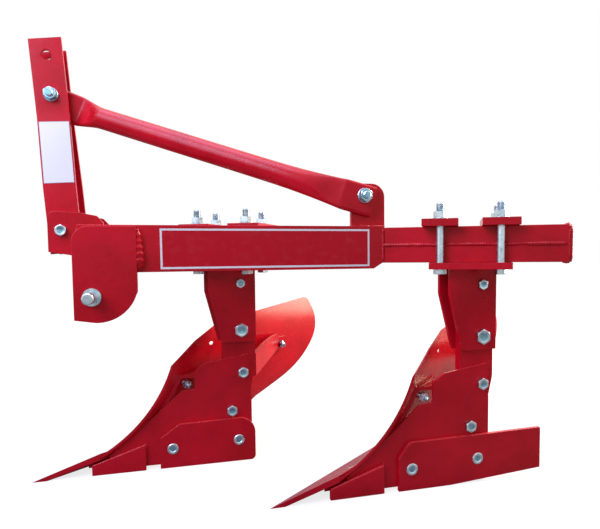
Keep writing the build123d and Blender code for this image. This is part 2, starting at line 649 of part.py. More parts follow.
def make_frog_plate():
    corners = [
        (20, 339),
        (-60, 326),
        (-112, 318, 40),
        (-148, 294, 10),
        (-146, 239, 6),
        (-188, 233, 8),
        (-224, 200, 30),
        (-278, 155, 60),
        (-338, 104, 60),
        (-400, 52),
        (-400, 10),
        (27, 10),
        (27, 240),
    ]
    plate = upright(corners, LANDSIDE, FROG_PLATE)
    plate = behind_surface(plate, 0.0)
    holes = [(x, z, LEG_BOLT) for x, z in LEG_BOLTS + PLOUGH_BOLTS]
    return drilled(plate, holes, LANDSIDE - 5, SHANK_NEAR_Y + 5)


STRIP_WIDTH = 100.0           # of the strip that follows the moldboard's back beside the landside


def make_frog():
    """The seat along the share's joint, two ribs to the frog plate and a strip for the shin bolt."""
    inside = SHANK_NEAR_Y
    reach = 250.0
    seat_section = [(-486, 18), (-486, 46), (-420, 90), (-352, 118), (-372, 92), (-412, 22)]
    seat = upright(seat_section, inside, 1)
    plan = [Vector(x, inside, z) for x, z in seat_section]
    seat = extrude(make_face(Polyline(*plan, close=True)), amount=reach, dir=(RUN, 1, 0))
    seat = Pos(RUN * inside, 0, 0) * seat
    low_rib = Polyline((-420, inside, 92), (-130, inside, 92), (40, inside + reach, 92),
                       (-420 + RUN * reach, inside + reach, 92), close=True)
    frog = seat + extrude(make_face(low_rib), amount=10, dir=(0, 0, 1))
    y, z = SHIN_BOLT
    rib_z = z + 13
    high_rib = Polyline((-260, inside, rib_z), (-124, inside, rib_z), (-90, inside + 60, rib_z),
                        (-190, inside + 60, rib_z), close=True)
    frog += extrude(make_face(high_rib), amount=10, dir=(0, 0, 1))
    strip_side = [(-420, 94), (-420, 286), (-205, 279), (-100, 294), (-100, 94)]
    strip = ruled_band(MOLD_THICKNESS - 1, MOLD_THICKNESS + 10)
    strip &= upright(strip_side, inside - 2, STRIP_WIDTH + 2)
    frog += strip
    frog = behind_surface(frog)
    spot, out = surface_bolt_axis(y, z)
    frog -= rod(spot, spot + out * 60, MOLD_BOLT)
    frog -= box(-700, 400, -50, inside, 0, 500)
    return frog - box(-700, 400, -50, 700, -100, 8)


def make_landside(rear_x, front_leg):
    low_corner = [(rear_x, 0, 15)] if front_leg else [(HEEL_START_X, 0), (rear_x, HEEL_LIFT)]
    top_corner = [(rear_x, LANDSIDE_HEIGHT, 50)] if front_leg else [(rear_x, LANDSIDE_HEIGHT)]
    corners = [(LANDSIDE_FRONT_X, 0)] + low_corner + top_corner
    nose, drop = (58, 40) if front_leg else (32, 42)
    corners += [(LANDSIDE_FRONT_X + nose, LANDSIDE_HEIGHT - 6, 24), (LANDSIDE_FRONT_X, LANDSIDE_HEIGHT - 6 - drop, 7)]
    plate = upright(corners, 0, LANDSIDE)
    return drilled(plate, [(x, z, LEG_BOLT) for x, z in PLOUGH_BOLTS], -5, LANDSIDE + 5)


def make_gunnel():
    """The keel under the share, in line with the landside."""
    corners = [(-449, 0), (-296, 0), (-296, 80), (-449, 31)]
    return behind_surface(upright(corners, 0, LANDSIDE))


def make_leg_bolts():
    bolts = Part()
    for (x, z), stack in zip(LEG_BOLTS, (BRACE, 0)):
        bolts += cross_bolt(x, z, LANDSIDE, SHANK_FAR_Y + stack, LEG_BOLT, 1.5 * LEG_BOLT)
    for x, z in PLOUGH_BOLTS:
        bolt = rod((x, -4, z), (x, SHANK_NEAR_Y + 26, z), LEG_BOLT)
        bolt += rod((x, -4, z), (x, 0, z), PLOUGH_BOLT_HEAD)
        bolt += hexagon((x, SHANK_NEAR_Y, z), (x, SHANK_NEAR_Y + 17, z), 1.5 * LEG_BOLT)
        bolts += bolt
    return bolts


def make_surface_bolt(spot_yz, stack):
    """A flush-headed bolt in the moldboard, its nut behind a stack of plates."""
    spot, out = surface_bolt_axis(*spot_yz)
    seat = spot + out * stack
    bolt = rod(spot + out * 0.5, seat + out * 24, MOLD_BOLT)
    return bolt + hexagon(seat, seat + out * 14, 1.5 * MOLD_BOLT)


BRACE = 10.0
BRACE_PAD = 50.0              # height of the pad at the wing
BRACE_BELOW_WING = 15.0       # from the bar's axis to its lower edge
BRACE_BELOW_FOOT = 25.0
BRACE_ABOVE_WING = 40.0       # and to its arched upper edge
BRACE_ABOVE_MIDDLE = 53.0
BRACE_ABOVE_FOOT = 50.0
BRACE_FOOT_Z = 284.0


def make_wing_brace():
    """A tapered flat bar, under the upper leg bolt's nut, up to the wing's back."""
    spot, out = surface_bolt_axis(*WING_BOLT)
    seat = spot + out * (MOLD_THICKNESS + BRACE / 2)
    pad = Plane(origin=seat, x_dir=(0, 0, 1), z_dir=out)
    brace = pad * Box(BRACE_PAD, 64, BRACE)
    start = Vector(SHANK_REAR_X + 2, SHANK_FAR_Y + BRACE / 2, BRACE_FOOT_Z)
    low, high = BRACE_FOOT_Z - BRACE_BELOW_FOOT, BRACE_FOOT_Z + BRACE_ABOVE_FOOT
    brace += box(-24, SHANK_REAR_X + 6, SHANK_FAR_Y, SHANK_FAR_Y + BRACE, low, high)
    brace = drilled(brace, [(*LEG_BOLTS[0], LEG_BOLT)], SHANK_FAR_Y - 5, SHANK_FAR_Y + BRACE + 5)
    end = seat - Vector(0.5, 0.85, 0) * 22
    run = end - start
    bar = Plane(origin=start, x_dir=run, z_dir=Vector(run.Y, -run.X, 0))
    reach = run.length + 4
    foot_top, wing_top = (-4, BRACE_ABOVE_FOOT), (reach, BRACE_ABOVE_WING)
    arch = ThreePointArc(wing_top, (reach / 2, BRACE_ABOVE_MIDDLE), foot_top)
    edge = Polyline(foot_top, (-4, -BRACE_BELOW_FOOT), (reach, -BRACE_BELOW_WING), wing_top)
    taper = extrude(make_face(edge + arch), amount=BRACE / 2, both=True)
    brace += bar * taper
    brace -= ruled_band(0, MOLD_THICKNESS, far=700)
    brace -= rod(spot, spot + out * 60, MOLD_BOLT)
    return brace - box(-200, 400, -50, SHANK_FAR_Y, 0, 600)


# ---------------------------------------------------------------- assembly
def add_frame():
    nodes["main_beam"], nodes["beam_end_cap"] = make_main_beam()
    nodes["side_beam"] = make_side_beam()
    nodes["cross_beam"] = make_cross_beam()
    nodes["left_hitch_plate"] = make_hitch_plate(PLATE_OUTER_Y, LEFT_PLATE_WIDTH, CROSS_BEAM_FRONT + 2, 96)
    right_y = RIGHT_SHOULDER_Y - COLLAR_LENGTH - HITCH_PLATE
    nodes["right_hitch_plate"] = make_hitch_plate(right_y, RIGHT_PLATE_WIDTH, CROSS_BEAM_FRONT + 2, 30)
    nodes["left_lower_pin"] = make_lower_pin(LEFT_SHOULDER_Y, -1)
    nodes["right_lower_pin"] = make_lower_pin(RIGHT_SHOULDER_Y, 1)
    for side, name in ((-1, "left"), (1, "right")):
        nodes[f"{name}_mast_bar"] = make_mast_bar(side)
        nodes[f"{name}_mast_ear"] = make_mast_ear(side)
    nodes["mast_foot_bolts"] = make_foot_bolt(-1) + make_foot_bolt(1)
    nodes["stay"] = make_stay()
    nodes["stay_bolt"] = make_stay_bolt()
    nodes["stay_lug"] = make_lug()
    nodes["stay_lug_bolt"] = make_lug_bolt()


def add_bottom(name, dx, dy, landside_rear, front_leg):
    """One clamp, its standard, and the leg that hangs on the pivot bolt."""
    clamp_top, clamp_low, clamp_bolts = make_clamp(CLAMP_X + dx)
    nodes[f"{name}_clamp_top_plates"] = clamp_top
    nodes[f"{name}_clamp_lower_plate"] = clamp_low
    nodes[f"{name}_clamp_bolts"] = clamp_bolts
    shear_ends, shear_core = make_shear_bolt()
    local = {
        "left_cheek": make_cheek(CHEEK_NEAR_Y),
        "right_cheek": make_cheek(CHEEK_FAR_Y, RIGHT_CHEEK_WIDER),
        "pivot_bolt": make_pivot_bolt(),
        "shear_bolt_ends": shear_ends,
        "shear_bolt_core": shear_core,
        "shank": make_shank(),
        "frog_plate": make_frog_plate(),
        "frog": make_frog(),
        "landside": make_landside(landside_rear, front_leg),
        "gunnel": make_gunnel(),
        "share": make_share(),
        "moldboard": make_moldboard(),
        "wing_brace": make_wing_brace(),
        "leg_bolts": make_leg_bolts()
        + make_surface_bolt(SHIN_BOLT, MOLD_THICKNESS + 10)
        + make_surface_bolt(WING_BOLT, MOLD_THICKNESS + BRACE),
    }
    for piece, solid in local.items():
        nodes[f"{name}_{piece}"] = Pos(dx, dy, 0) * solid


add_frame()
add_bottom("front", 0.0, 0.0, LANDSIDE_REAR_FRONT_LEG, True)
add_bottom("rear", STEP_X, -CUT_WIDTH, LANDSIDE_REAR_REAR_LEG, False)

whole = Compound(children=[Compound(solid.solids()) for solid in nodes.values()]).bounding_box()
origin = Vector((whole.min.X + whole.max.X) / 2, (whole.min.Y + whole.max.Y) / 2, whole.min.Z)
print("origin in the building frame:", origin)
for name, solid in nodes.items():
    export_step(Pos(-origin.X, -origin.Y, -origin.Z) * Compound(solid.solids()), f"parts/{name}.step")
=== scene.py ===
# %% [markdown]
# # A mounted moldboard plough
# The solids of the plough are already built, at their real size. Here they get what the eye sees:
# sprayed red enamel, zinc-plated bolts with chamfers and threads, weld beads, and rounded plate edges.
# Everything is in metres. +X runs to the rear of the plough, +Y to its right, +Z up, and the floor is z = 0.

# %% Load the frame
import json
import math
import random

import bmesh
import bpy
from mathutils import Matrix, Vector

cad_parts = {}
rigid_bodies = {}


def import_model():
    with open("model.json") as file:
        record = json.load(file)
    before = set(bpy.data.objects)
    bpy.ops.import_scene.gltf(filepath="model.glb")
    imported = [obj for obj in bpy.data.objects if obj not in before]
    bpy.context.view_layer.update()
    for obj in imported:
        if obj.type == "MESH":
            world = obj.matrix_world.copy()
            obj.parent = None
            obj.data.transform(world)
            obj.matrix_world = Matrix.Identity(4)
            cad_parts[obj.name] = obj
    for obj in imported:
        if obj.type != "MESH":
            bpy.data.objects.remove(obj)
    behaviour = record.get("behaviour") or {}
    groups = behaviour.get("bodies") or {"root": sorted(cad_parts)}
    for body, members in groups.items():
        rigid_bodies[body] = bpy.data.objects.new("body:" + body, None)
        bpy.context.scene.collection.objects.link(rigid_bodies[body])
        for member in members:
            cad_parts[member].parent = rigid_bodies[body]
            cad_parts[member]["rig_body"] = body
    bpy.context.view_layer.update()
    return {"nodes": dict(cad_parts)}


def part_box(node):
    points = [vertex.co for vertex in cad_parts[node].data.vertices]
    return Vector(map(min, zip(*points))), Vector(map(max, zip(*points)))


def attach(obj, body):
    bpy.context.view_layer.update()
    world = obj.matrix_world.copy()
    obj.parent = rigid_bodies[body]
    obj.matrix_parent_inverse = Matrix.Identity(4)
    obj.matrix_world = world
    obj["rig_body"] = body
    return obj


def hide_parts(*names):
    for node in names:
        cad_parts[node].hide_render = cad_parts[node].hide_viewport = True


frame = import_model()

MM = 0.001
nodes = frame["nodes"]
body_of = {name: obj["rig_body"] for name, obj in nodes.items()}

# %% [markdown]
# ## Camera
# The camera stands at the plough's left, a little ahead of its middle and at the height of the beam.
# Its lens is short, so that near pieces look large, and it is shifted a little, which moves the plough
# in the frame without turning the camera. Euler angles would do, but three turns multiplied together
# say more plainly what each one is.

# %% Camera
CAMERA_SPOT = Vector((-0.3649, -1.7495, 0.6556))
CAMERA_YAW = math.radians(15.07)      # to the right of +Y
CAMERA_PITCH = math.radians(-3.76)    # below the horizon
CAMERA_ROLL = math.radians(-0.48)
CAMERA_LENS = 32.13                   # mm, on a sensor 36 mm wide
CAMERA_SHIFT = (-0.0457, 0.0404)      # shares of the frame's width

camera = bpy.data.objects.new("camera", bpy.data.cameras.new("camera"))
bpy.context.scene.collection.objects.link(camera)
turn = Matrix.Rotation(-CAMERA_YAW, 4, "Z")
tilt = Matrix.Rotation(math.pi / 2 + CAMERA_PITCH, 4, "X")
roll = Matrix.Rotation(CAMERA_ROLL, 4, "Z")
camera.matrix_world = Matrix.Translation(CAMERA_SPOT) @ turn @ tilt @ roll
camera.data.sensor_width = 36.0
camera.data.lens = CAMERA_LENS
camera.data.shift_x, camera.data.shift_y = CAMERA_SHIFT
bpy.context.scene.camera = camera
print("lens", round(camera.data.lens, 2), "mm, from", tuple(round(v, 2) for v in CAMERA_SPOT))

# %% [markdown]
# ## Nodes
# Every material is a small network of shader nodes. One helper adds a node, sets it and links it, so a
# material reads as a list of what it is made of. Colours are written as the hex values of a paint
# card. A renderer adds light in linear values, so one function turns one into the other.

# %% Helpers for materials
def linear(code):
    """'#RRGGBB' as linear RGBA."""
    values = [int(code[i:i + 2], 16) / 255 for i in (1, 3, 5)]
    return [v / 12.92 if v <= 0.04045 else ((v + 0.055) / 1.055) ** 2.4 for v in values] + [1.0]


def add_node(tree, kind, inputs=None, links=None, **settings):
    """Adds a node with its settings, its inputs' values and its links."""
    made = tree.nodes.new(kind)
    for name, value in settings.items():
        setattr(made, name, value)
    for name, value in (inputs or {}).items():
        made.inputs[name].default_value = value
    for name, source in (links or {}).items():
        tree.links.new(source, made.inputs[name])
    return made


def new_material(name):
    """An empty material with its output and its coordinates, in metres on the object."""
    material = bpy.data.materials.new(name)
    material.use_nodes = True
    tree = material.node_tree
    tree.nodes.clear()
    output = add_node(tree, "ShaderNodeOutputMaterial")
    place = add_node(tree, "ShaderNodeTexCoord").outputs["Object"]
    return material, tree, output, place


# a Mix node has one set of sockets for each kind of data: these are the colour ones
FACTOR, COLOUR_A, COLOUR_B, MIXED = 0, 6, 7, 2
print("#808080 is", round(linear("#808080")[0], 3), "in linear values")

# %% [markdown]
# ## Red enamel
# The frame and the plough bottoms are hot-rolled steel, sprayed in one coat of synthetic enamel. It
# gives the eye a deep red with a wet gloss, the fine ripple of sprayed paint (orange peel, about 3 mm
# from crest to crest), thin and thick passes of the gun, and a little dust where a face looks up. The
# faces that look up also get a painted sheen, a stronger gloss that stands in for the sky they reflect.
# The ripple could be modelled, but it is a tenth of a millimetre high, so bump does it better.

# %% Red enamel
PEEL = 3.0 * MM            # orange peel, crest to crest
GUN_PASS = 140 * MM        # width of one pass of the spray gun
MILL_WAVE = 28 * MM        # shallow waves left by the rolling mill
SPECK = 1.6 * MM           # dust nibs under the paint
STAIN = "#8A0810"          # enamel over mill scale that wasn't quite clean
DUST = "#D8A29C"           # pale dust on red enamel


def make_red_enamel(name, deep, bright):
    """Enamel between two reds, the colours of its thick and thin passes."""
    material, tree, output, place = new_material(name)
    passes = add_node(tree, "ShaderNodeTexNoise", {"Scale": 1 / GUN_PASS, "Detail": 3.0, "Roughness": 0.55},
                      {"Vector": place})
    spread = add_node(tree, "ShaderNodeMapRange", {"From Min": 0.35, "From Max": 0.65},
                      {"Value": passes.outputs["Fac"]})
    red = add_node(tree, "ShaderNodeMix", {COLOUR_A: linear(deep), COLOUR_B: linear(bright)},
                   {FACTOR: spread.outputs[0]}, data_type="RGBA")
    specks = add_node(tree, "ShaderNodeTexNoise", {"Scale": 1 / (9 * SPECK), "Detail": 9.0, "Roughness": 0.7},
                      {"Vector": place})
    stain = add_node(tree, "ShaderNodeMapRange", {"From Min": 0.56, "From Max": 0.74, "To Max": 0.35},
                     {"Value": specks.outputs["Fac"]})
    stained = add_node(tree, "ShaderNodeMix", {COLOUR_B: linear(STAIN)},
                       {FACTOR: stain.outputs[0], COLOUR_A: red.outputs[MIXED]}, data_type="RGBA")
    normal = add_node(tree, "ShaderNodeNewGeometry").outputs["Normal"]
    facing = add_node(tree, "ShaderNodeSeparateXYZ", links={0: normal})
    level = add_node(tree, "ShaderNodeMapRange", {"From Min": 0.55, "From Max": 1.0, "To Max": 0.16},
                     {"Value": facing.outputs["Z"]})
    dust = add_node(tree, "ShaderNodeMath", links={0: level.outputs[0], 1: specks.outputs["Fac"]},
                    operation="MULTIPLY")
    colour = add_node(tree, "ShaderNodeMix", {COLOUR_B: linear(DUST)},
                      {FACTOR: dust.outputs[0], COLOUR_A: stained.outputs[MIXED]}, data_type="RGBA")
    shine = add_node(tree, "ShaderNodeMapRange", {"To Min": 0.18, "To Max": 0.34},
                     {"Value": specks.outputs["Fac"]})
    # painted sheen: the specular level rises on faces that look up, for the bright sky they reflect
    painted_top_sheen = add_node(tree, "ShaderNodeMapRange",
                     {"From Min": 0.05, "From Max": 0.9, "To Min": 0.2, "To Max": 0.55},
                     {"Value": facing.outputs["Z"]})
    peel = add_node(tree, "ShaderNodeTexNoise", {"Scale": 1 / PEEL, "Detail": 1.5}, {"Vector": place})
    mill = add_node(tree, "ShaderNodeTexNoise", {"Scale": 1 / MILL_WAVE, "Detail": 2.0}, {"Vector": place})
    waves = add_node(tree, "ShaderNodeBump", {"Strength": 0.35, "Distance": 0.9 * MM},
                     {"Height": mill.outputs["Fac"]})
    ripple = add_node(tree, "ShaderNodeBump", {"Strength": 0.22, "Distance": 0.25 * MM},
                      {"Height": peel.outputs["Fac"], "Normal": waves.outputs["Normal"]})
    paint = add_node(tree, "ShaderNodeBsdfPrincipled", {"IOR": 1.5},
                     {"Base Color": colour.outputs[MIXED], "Roughness": shine.outputs[0],
                      "Specular IOR Level": painted_top_sheen.outputs[0], "Normal": ripple.outputs["Normal"]})
    tree.links.new(paint.outputs[0], output.inputs["Surface"])
    return material


RED = make_red_enamel("red_enamel", "#B20A1C", "#CA0F26")
print("made", RED.name)

# %% [markdown]
# ## Zinc plate
# The bolts and pins are forged steel with bright zinc plating, passivated blue. The eye sees a pale
# bluish metal, less sharp than chrome, with a fine grain and faint clouds where the passivation is
# thicker. It is a metal, so its colour is that of its reflection, and its IOR stays as it is.

# %% Zinc plate
ZINC_GRAIN = 0.9 * MM      # real grain is finer: this is as coarse as it needs to be to show
ZINC_CLOUD = 11 * MM


def make_zinc_plate(name, deep, pale):
    """Plating between two tints, where the film is thick and where it is thin."""
    material, tree, output, place = new_material(name)
    clouds = add_node(tree, "ShaderNodeTexNoise", {"Scale": 1 / ZINC_CLOUD, "Detail": 4.0}, {"Vector": place})
    spread = add_node(tree, "ShaderNodeMapRange", {"From Min": 0.3, "From Max": 0.8},
                      {"Value": clouds.outputs["Fac"]})
    tint = add_node(tree, "ShaderNodeMix", {COLOUR_A: linear(deep), COLOUR_B: linear(pale)},
                    {FACTOR: spread.outputs[0]}, data_type="RGBA")
    grain = add_node(tree, "ShaderNodeTexNoise", {"Scale": 1 / ZINC_GRAIN, "Detail": 2.0}, {"Vector": place})
    shine = add_node(tree, "ShaderNodeMapRange", {"To Min": 0.22, "To Max": 0.36},
                     {"Value": clouds.outputs["Fac"]})
    bump = add_node(tree, "ShaderNodeBump", {"Strength": 0.25, "Distance": 0.08 * MM},
                    {"Height": grain.outputs["Fac"]})
    metal = add_node(tree, "ShaderNodeBsdfPrincipled", {"Metallic": 1.0},
                     {"Base Color": tint.outputs[MIXED], "Roughness": shine.outputs[0],
                      "Normal": bump.outputs["Normal"]})
    tree.links.new(metal.outputs[0], output.inputs["Surface"])
    return material


ZINC = make_zinc_plate("zinc_plate", "#A4C0CC", "#E6EFF3")
# painted reflection: the flat, dished ends of the heads are a darker, bluer zinc, for the bluish gleam they
# show
ZINC_PAINTED_REFLECTION = make_zinc_plate("zinc_painted_reflection", "#6298AE", "#9CC4D2")
print("made", ZINC.name, "and", ZINC_PAINTED_REFLECTION.name)

# %% [markdown]
# ## Label vinyl
# Two blank labels are cast vinyl film: a red one with a white frame on the side beam, and a white one
# on the mast. Film is smoother than the enamel under it, and it shows a faint waviness from the
# squeegee that pressed it down.

# %% Label vinyl
FILM_WAVE = 22 * MM        # waviness left by the squeegee
DULLED = "#BBA9A6"         # what a little dust turns every film towards


def make_vinyl(name, code):
    """Film of one colour."""
    material, tree, output, place = new_material(name)
    wave = add_node(tree, "ShaderNodeTexNoise", {"Scale": 1 / FILM_WAVE, "Detail": 2.0}, {"Vector": place})
    spread = add_node(tree, "ShaderNodeMapRange", {"From Min": 0.5, "To Max": 0.06},
                      {"Value": wave.outputs["Fac"]})
    colour = add_node(tree, "ShaderNodeMix", {COLOUR_A: linear(code), COLOUR_B: linear(DULLED)},
                      {FACTOR: spread.outputs[0]}, data_type="RGBA")
    bump = add_node(tree, "ShaderNodeBump", {"Strength": 0.2, "Distance": 0.3 * MM},
                    {"Height": wave.outputs["Fac"]})
    film = add_node(tree, "ShaderNodeBsdfPrincipled",
                    {"Roughness": 0.3, "IOR": 1.45, "Specular IOR Level": 0.22},
                    {"Base Color": colour.outputs[MIXED], "Normal": bump.outputs["Normal"]})
    tree.links.new(film.outputs[0], output.inputs["Surface"])
    return material


WHITE_FILM = make_vinyl("white_vinyl", "#E4E7E7")
GREY_FILM = make_vinyl("grey_vinyl", "#9AA3AD")
RED_FILM = make_vinyl("red_vinyl", "#BC0A22")
print("made", WHITE_FILM.name, GREY_FILM.name, "and", RED_FILM.name)

# %% [markdown]
# ## Rounded plate edges
# A sawn or flame-cut plate never has a knife edge: a millimetre is ground off and the paint rounds it
# further. That thin line of light along each edge is what makes a plate look like steel. The solids
# have sharp edges, so each flat piece gets a softened copy of its mesh, which stands for the solid.
# Flat faces are first joined again from their triangles, because a bevel needs whole edges.

# %% Softened copies of the flat pieces
EDGE = 2.0 * MM            # radius of a rounded edge
SHARE_EDGE = 0.6 * MM      # a share is ground sharp
ONE_FLAT = math.radians(0.5)       # triangles that differ by less are one flat face
REAL_EDGE = math.radians(35)       # and only edges that turn by more are rounded
WELD_POINTS = 0.01 * MM    # vertices nearer than this are one
FLAT_PIECES = ["main_beam", "beam_end_cap", "side_beam", "cross_beam", "left_hitch_plate",
               "right_hitch_plate", "left_mast_bar", "right_mast_bar", "left_mast_ear",
               "right_mast_ear", "stay_lug"]
for end in ("front", "rear"):
    FLAT_PIECES += [f"{end}_{piece}" for piece in (
        "clamp_top_plates", "clamp_lower_plate", "left_cheek", "right_cheek", "shank",
        "frog_plate", "landside", "gunnel", "share", "wing_brace")]


def mesh_object(name, bm, material, smooth=True):
    """Turns a bmesh into an object with one material."""
    mesh = bpy.data.meshes.new(name)
    bm.to_mesh(mesh)
    bm.free()
    mesh.materials.append(material)
    mesh.polygons.foreach_set("use_smooth", [smooth] * len(mesh.polygons))
    obj = bpy.data.objects.new(name, mesh)
    bpy.context.scene.collection.objects.link(obj)
    return obj


def soften(name):
    """Replaces a flat piece by a copy with rounded edges."""
    offset = SHARE_EDGE if name.endswith("share") else EDGE
    bm = bmesh.new()
    bm.from_mesh(nodes[name].data)
    bmesh.ops.remove_doubles(bm, verts=bm.verts, dist=WELD_POINTS)
    bmesh.ops.dissolve_limit(bm, angle_limit=ONE_FLAT, verts=bm.verts, edges=bm.edges)
    edges = [e for e in bm.edges if len(e.link_faces) == 2 and e.calc_face_angle() > REAL_EDGE]
    bmesh.ops.bevel(bm, geom=edges, offset=offset, segments=2, profile=0.5, affect="EDGES",
                    clamp_overlap=True)
    piece = mesh_object(f"{name}_softened", bm, RED)
    weighted = piece.modifiers.new("flat_faces_stay_flat", "WEIGHTED_NORMAL")
    weighted.keep_sharp = True
    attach(piece, body_of[name])
    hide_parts(name)


for name in FLAT_PIECES:
    soften(name)
print("softened", len(FLAT_PIECES), "pieces")

# %% [markdown]
# ## Bolts
# A hex head is turned before it is used: its corners are cut back by a 30 degree cone, which leaves
# the curved lines that everyone knows from a bolt. The part of the shank that comes out of the nut is
# threaded. Each solid bolt already has its steps (head, shank, washer, nut), so the code reads those
# steps from the solid, along its axis, and builds each one again with its chamfers and threads.

# %% Read the steps of a bolt
LEVEL = 0.05 * MM          # heights nearer than this are one step
RADIUS = 0.2 * MM          # radii nearer than this are one ring
THINNEST = 4               # a step's radius is more than this many of RADIUS
SHORTEST = 8               # and its length more than this many of LEVEL


def islands(name):
    """The vertices of each loose solid of a node."""
    bm = bmesh.new()
    bm.from_mesh(nodes[name].data)
    bmesh.ops.remove_doubles(bm, verts=bm.verts, dist=WELD_POINTS)
    left = set(bm.verts)
    found = []
    while left:
        stack = [min(left, key=lambda v: v.index)]
        left.discard(stack[0])
        points = []
        while stack:
            vert = stack.pop()
            points.append(vert.co.copy())
            for edge in vert.link_edges:
                other = edge.other_vert(vert)
                if other in left:
                    left.discard(other)
                    stack.append(other)
        found.append(points)
    bm.free()
    return sorted(found, key=lambda points: tuple(points[0]))


def bolt_steps(points, axis):
    """The axis's foot, and each step's (start, stop, radius, is_hexagon, corner direction)."""
    low = min(p.dot(axis) for p in points)
    levels = {}
    for p in points:
        levels.setdefault(round((p.dot(axis) - low) / LEVEL), []).append(p)
    ends = [p for p in points if p.dot(axis) - low < LEVEL]
    centre = sum(ends, Vector()) / len(ends)
    foot = centre - axis * (centre.dot(axis) - low)
    heights = sorted(levels)
    rings = []
    for height in heights:
        radii = {}
        for p in levels[height]:
            out = p - foot
            out -= axis * out.dot(axis)
            radii.setdefault(round(out.length / RADIUS), []).append(out)
        rings.append(radii)
    steps = []
    for (h0, r0), (h1, r1) in zip(zip(heights, rings), zip(heights[1:], rings[1:])):
        shared = [r for r in r0 if r > THINNEST and any(abs(r - q) <= 1 for q in r1)]
        if shared and h1 - h0 > SHORTEST:
            best = max(shared)
            outs = r0[best]
            hexagonal = len(outs) <= 6
            steps.append((h0 * LEVEL, h1 * LEVEL, best * RADIUS, hexagonal, outs[0].normalized()))
    return foot, steps


print("mast_foot_bolts has", len(islands("mast_foot_bolts")), "loose solids")

# %% [markdown]
# The shapes below are rings of points round the axis. A hexagon's ring is at the distance of its flat
# side in each direction, and the cone lowers it where that distance is large, near the corners.

# %% Rings round an axis
ROUND = 48                 # points round the axis, a multiple of six


def skin(bm, rings):
    """Joins each ring of vertices to the next one by faces."""
    for a, b in zip(rings, rings[1:]):
        for i in range(len(a)):
            j = (i + 1) % len(a)
            bm.faces.new((a[i], a[j], b[j], b[i]))


def lathe(bm, foot, axis, across, rings):
    """Skins rings of (height, radius) around the axis; either may be a list, a value per point."""
    side = axis.cross(across).normalized()
    made = []
    for heights, radii in rings:
        ring = []
        for i in range(ROUND):
            angle = 2 * math.pi * i / ROUND
            h = heights[i] if isinstance(heights, list) else heights
            r = radii[i] if isinstance(radii, list) else radii
            out = across * math.cos(angle) + side * math.sin(angle)
            ring.append(bm.verts.new(foot + axis * h + out * r))
        made.append(ring)
    skin(bm, made)
    for end in (list(reversed(made[0])), made[-1]):
        # the end faces take the second material, which on bolts is the zinc with the painted reflection
        bm.faces.new(end).material_index = 1


print("rings of", ROUND, "points")

# %% [markdown]
# A head and a nut are hexagons whose corners are cut by a cone, a thread is a row of crests and roots,
# and a plough bolt has a low round head with a socket. Each is a short list of rings. A real thread is
# a helix, but at this size a row of rings looks the same, and it closes at its ends by itself.

# %% The rings of heads, nuts, threads and washers
CONE = math.tan(math.radians(30))      # slope of the cone that cuts a hexagon's corners
CONE_FOOT = 0.96           # radius where that cone starts, as a share of the way to a flat side
DISH_RIM, DISH_FLOOR = 0.72, 0.64      # radii of a head's forged dish, likewise
DISH_DEPTH = 0.5 * MM
PITCH = 2.5 * MM           # thread, crest to crest
THREAD_DEPTH = 1.3 * MM
TIP = 0.4 * PITCH          # length of the chamfer at a thread's free end
TIP_DEPTH = 1.8 * THREAD_DEPTH
ROUNDING = 0.8 * MM        # of a washer's or a shank's rims
# a plough bolt's head, from its socket outwards: mm below the top, and share of the radius
SOCKET_HEAD = ((1.6, 0.5), (0.4, 0.6), (0.0, 0.66), (0.2, 0.9), (1.4, 1.0))


def hexagon_rings(start, stop, corner):
    """A hexagon whose corners are cut by a cone at both ends, with a shallow forged dish at the start."""
    flat = corner * math.cos(math.pi / 6)
    sides = [flat / math.cos((2 * math.pi * i / ROUND) % (math.pi / 3) - math.pi / 6) for i in range(ROUND)]
    drops = [(r - CONE_FOOT * flat) * CONE for r in sides]
    return [
        (start + DISH_DEPTH, DISH_FLOOR * flat),
        (start, DISH_RIM * flat),
        (start, CONE_FOOT * flat),
        ([start + d for d in drops], sides),
        ([stop - d for d in drops], sides),
        (stop, CONE_FOOT * flat),
    ]


def thread_rings(start, stop, radius):
    """Crests and roots, with a chamfer at the free end, which is at stop."""
    rings = [(start, radius - THREAD_DEPTH)]
    height = start + PITCH / 2
    while height < stop - PITCH:
        rings.append((height, radius))
        rings.append((height + PITCH / 2, radius - THREAD_DEPTH))
        height += PITCH
    return rings + [(stop - TIP, radius - THREAD_DEPTH), (stop, radius - TIP_DEPTH)]


def socket_rings(start, stop, radius):
    """A plough bolt's round head, with its wrench socket in the middle."""
    return [(start + down * MM, share * radius) for down, share in SOCKET_HEAD] + [(stop, radius)]


def round_rings(start, stop, radius):
    """A washer or a plain shank with rounded rims."""
    rim = min(ROUNDING, (stop - start) / 3)
    return [(start, radius - rim), (start + rim, radius), (stop - rim, radius), (stop, radius - rim)]


print("a thread of", round(PITCH / MM, 1), "mm pitch is drawn", round(THREAD_DEPTH / MM, 1), "mm deep")

# %% [markdown]
# A node may hold several bolts. Each of its loose solids gets the rings of its own steps, and together
# they become one mesh, which stands for the node. The flat ends of each step are of the darker, bluer
# zinc, a painted reflection.

# %% Turn the bolts
LOW_HEAD = 5 * MM          # a round head lower than this is a plough bolt's
SHARP_RIM = math.radians(28)       # edges that turn by more stay sharp


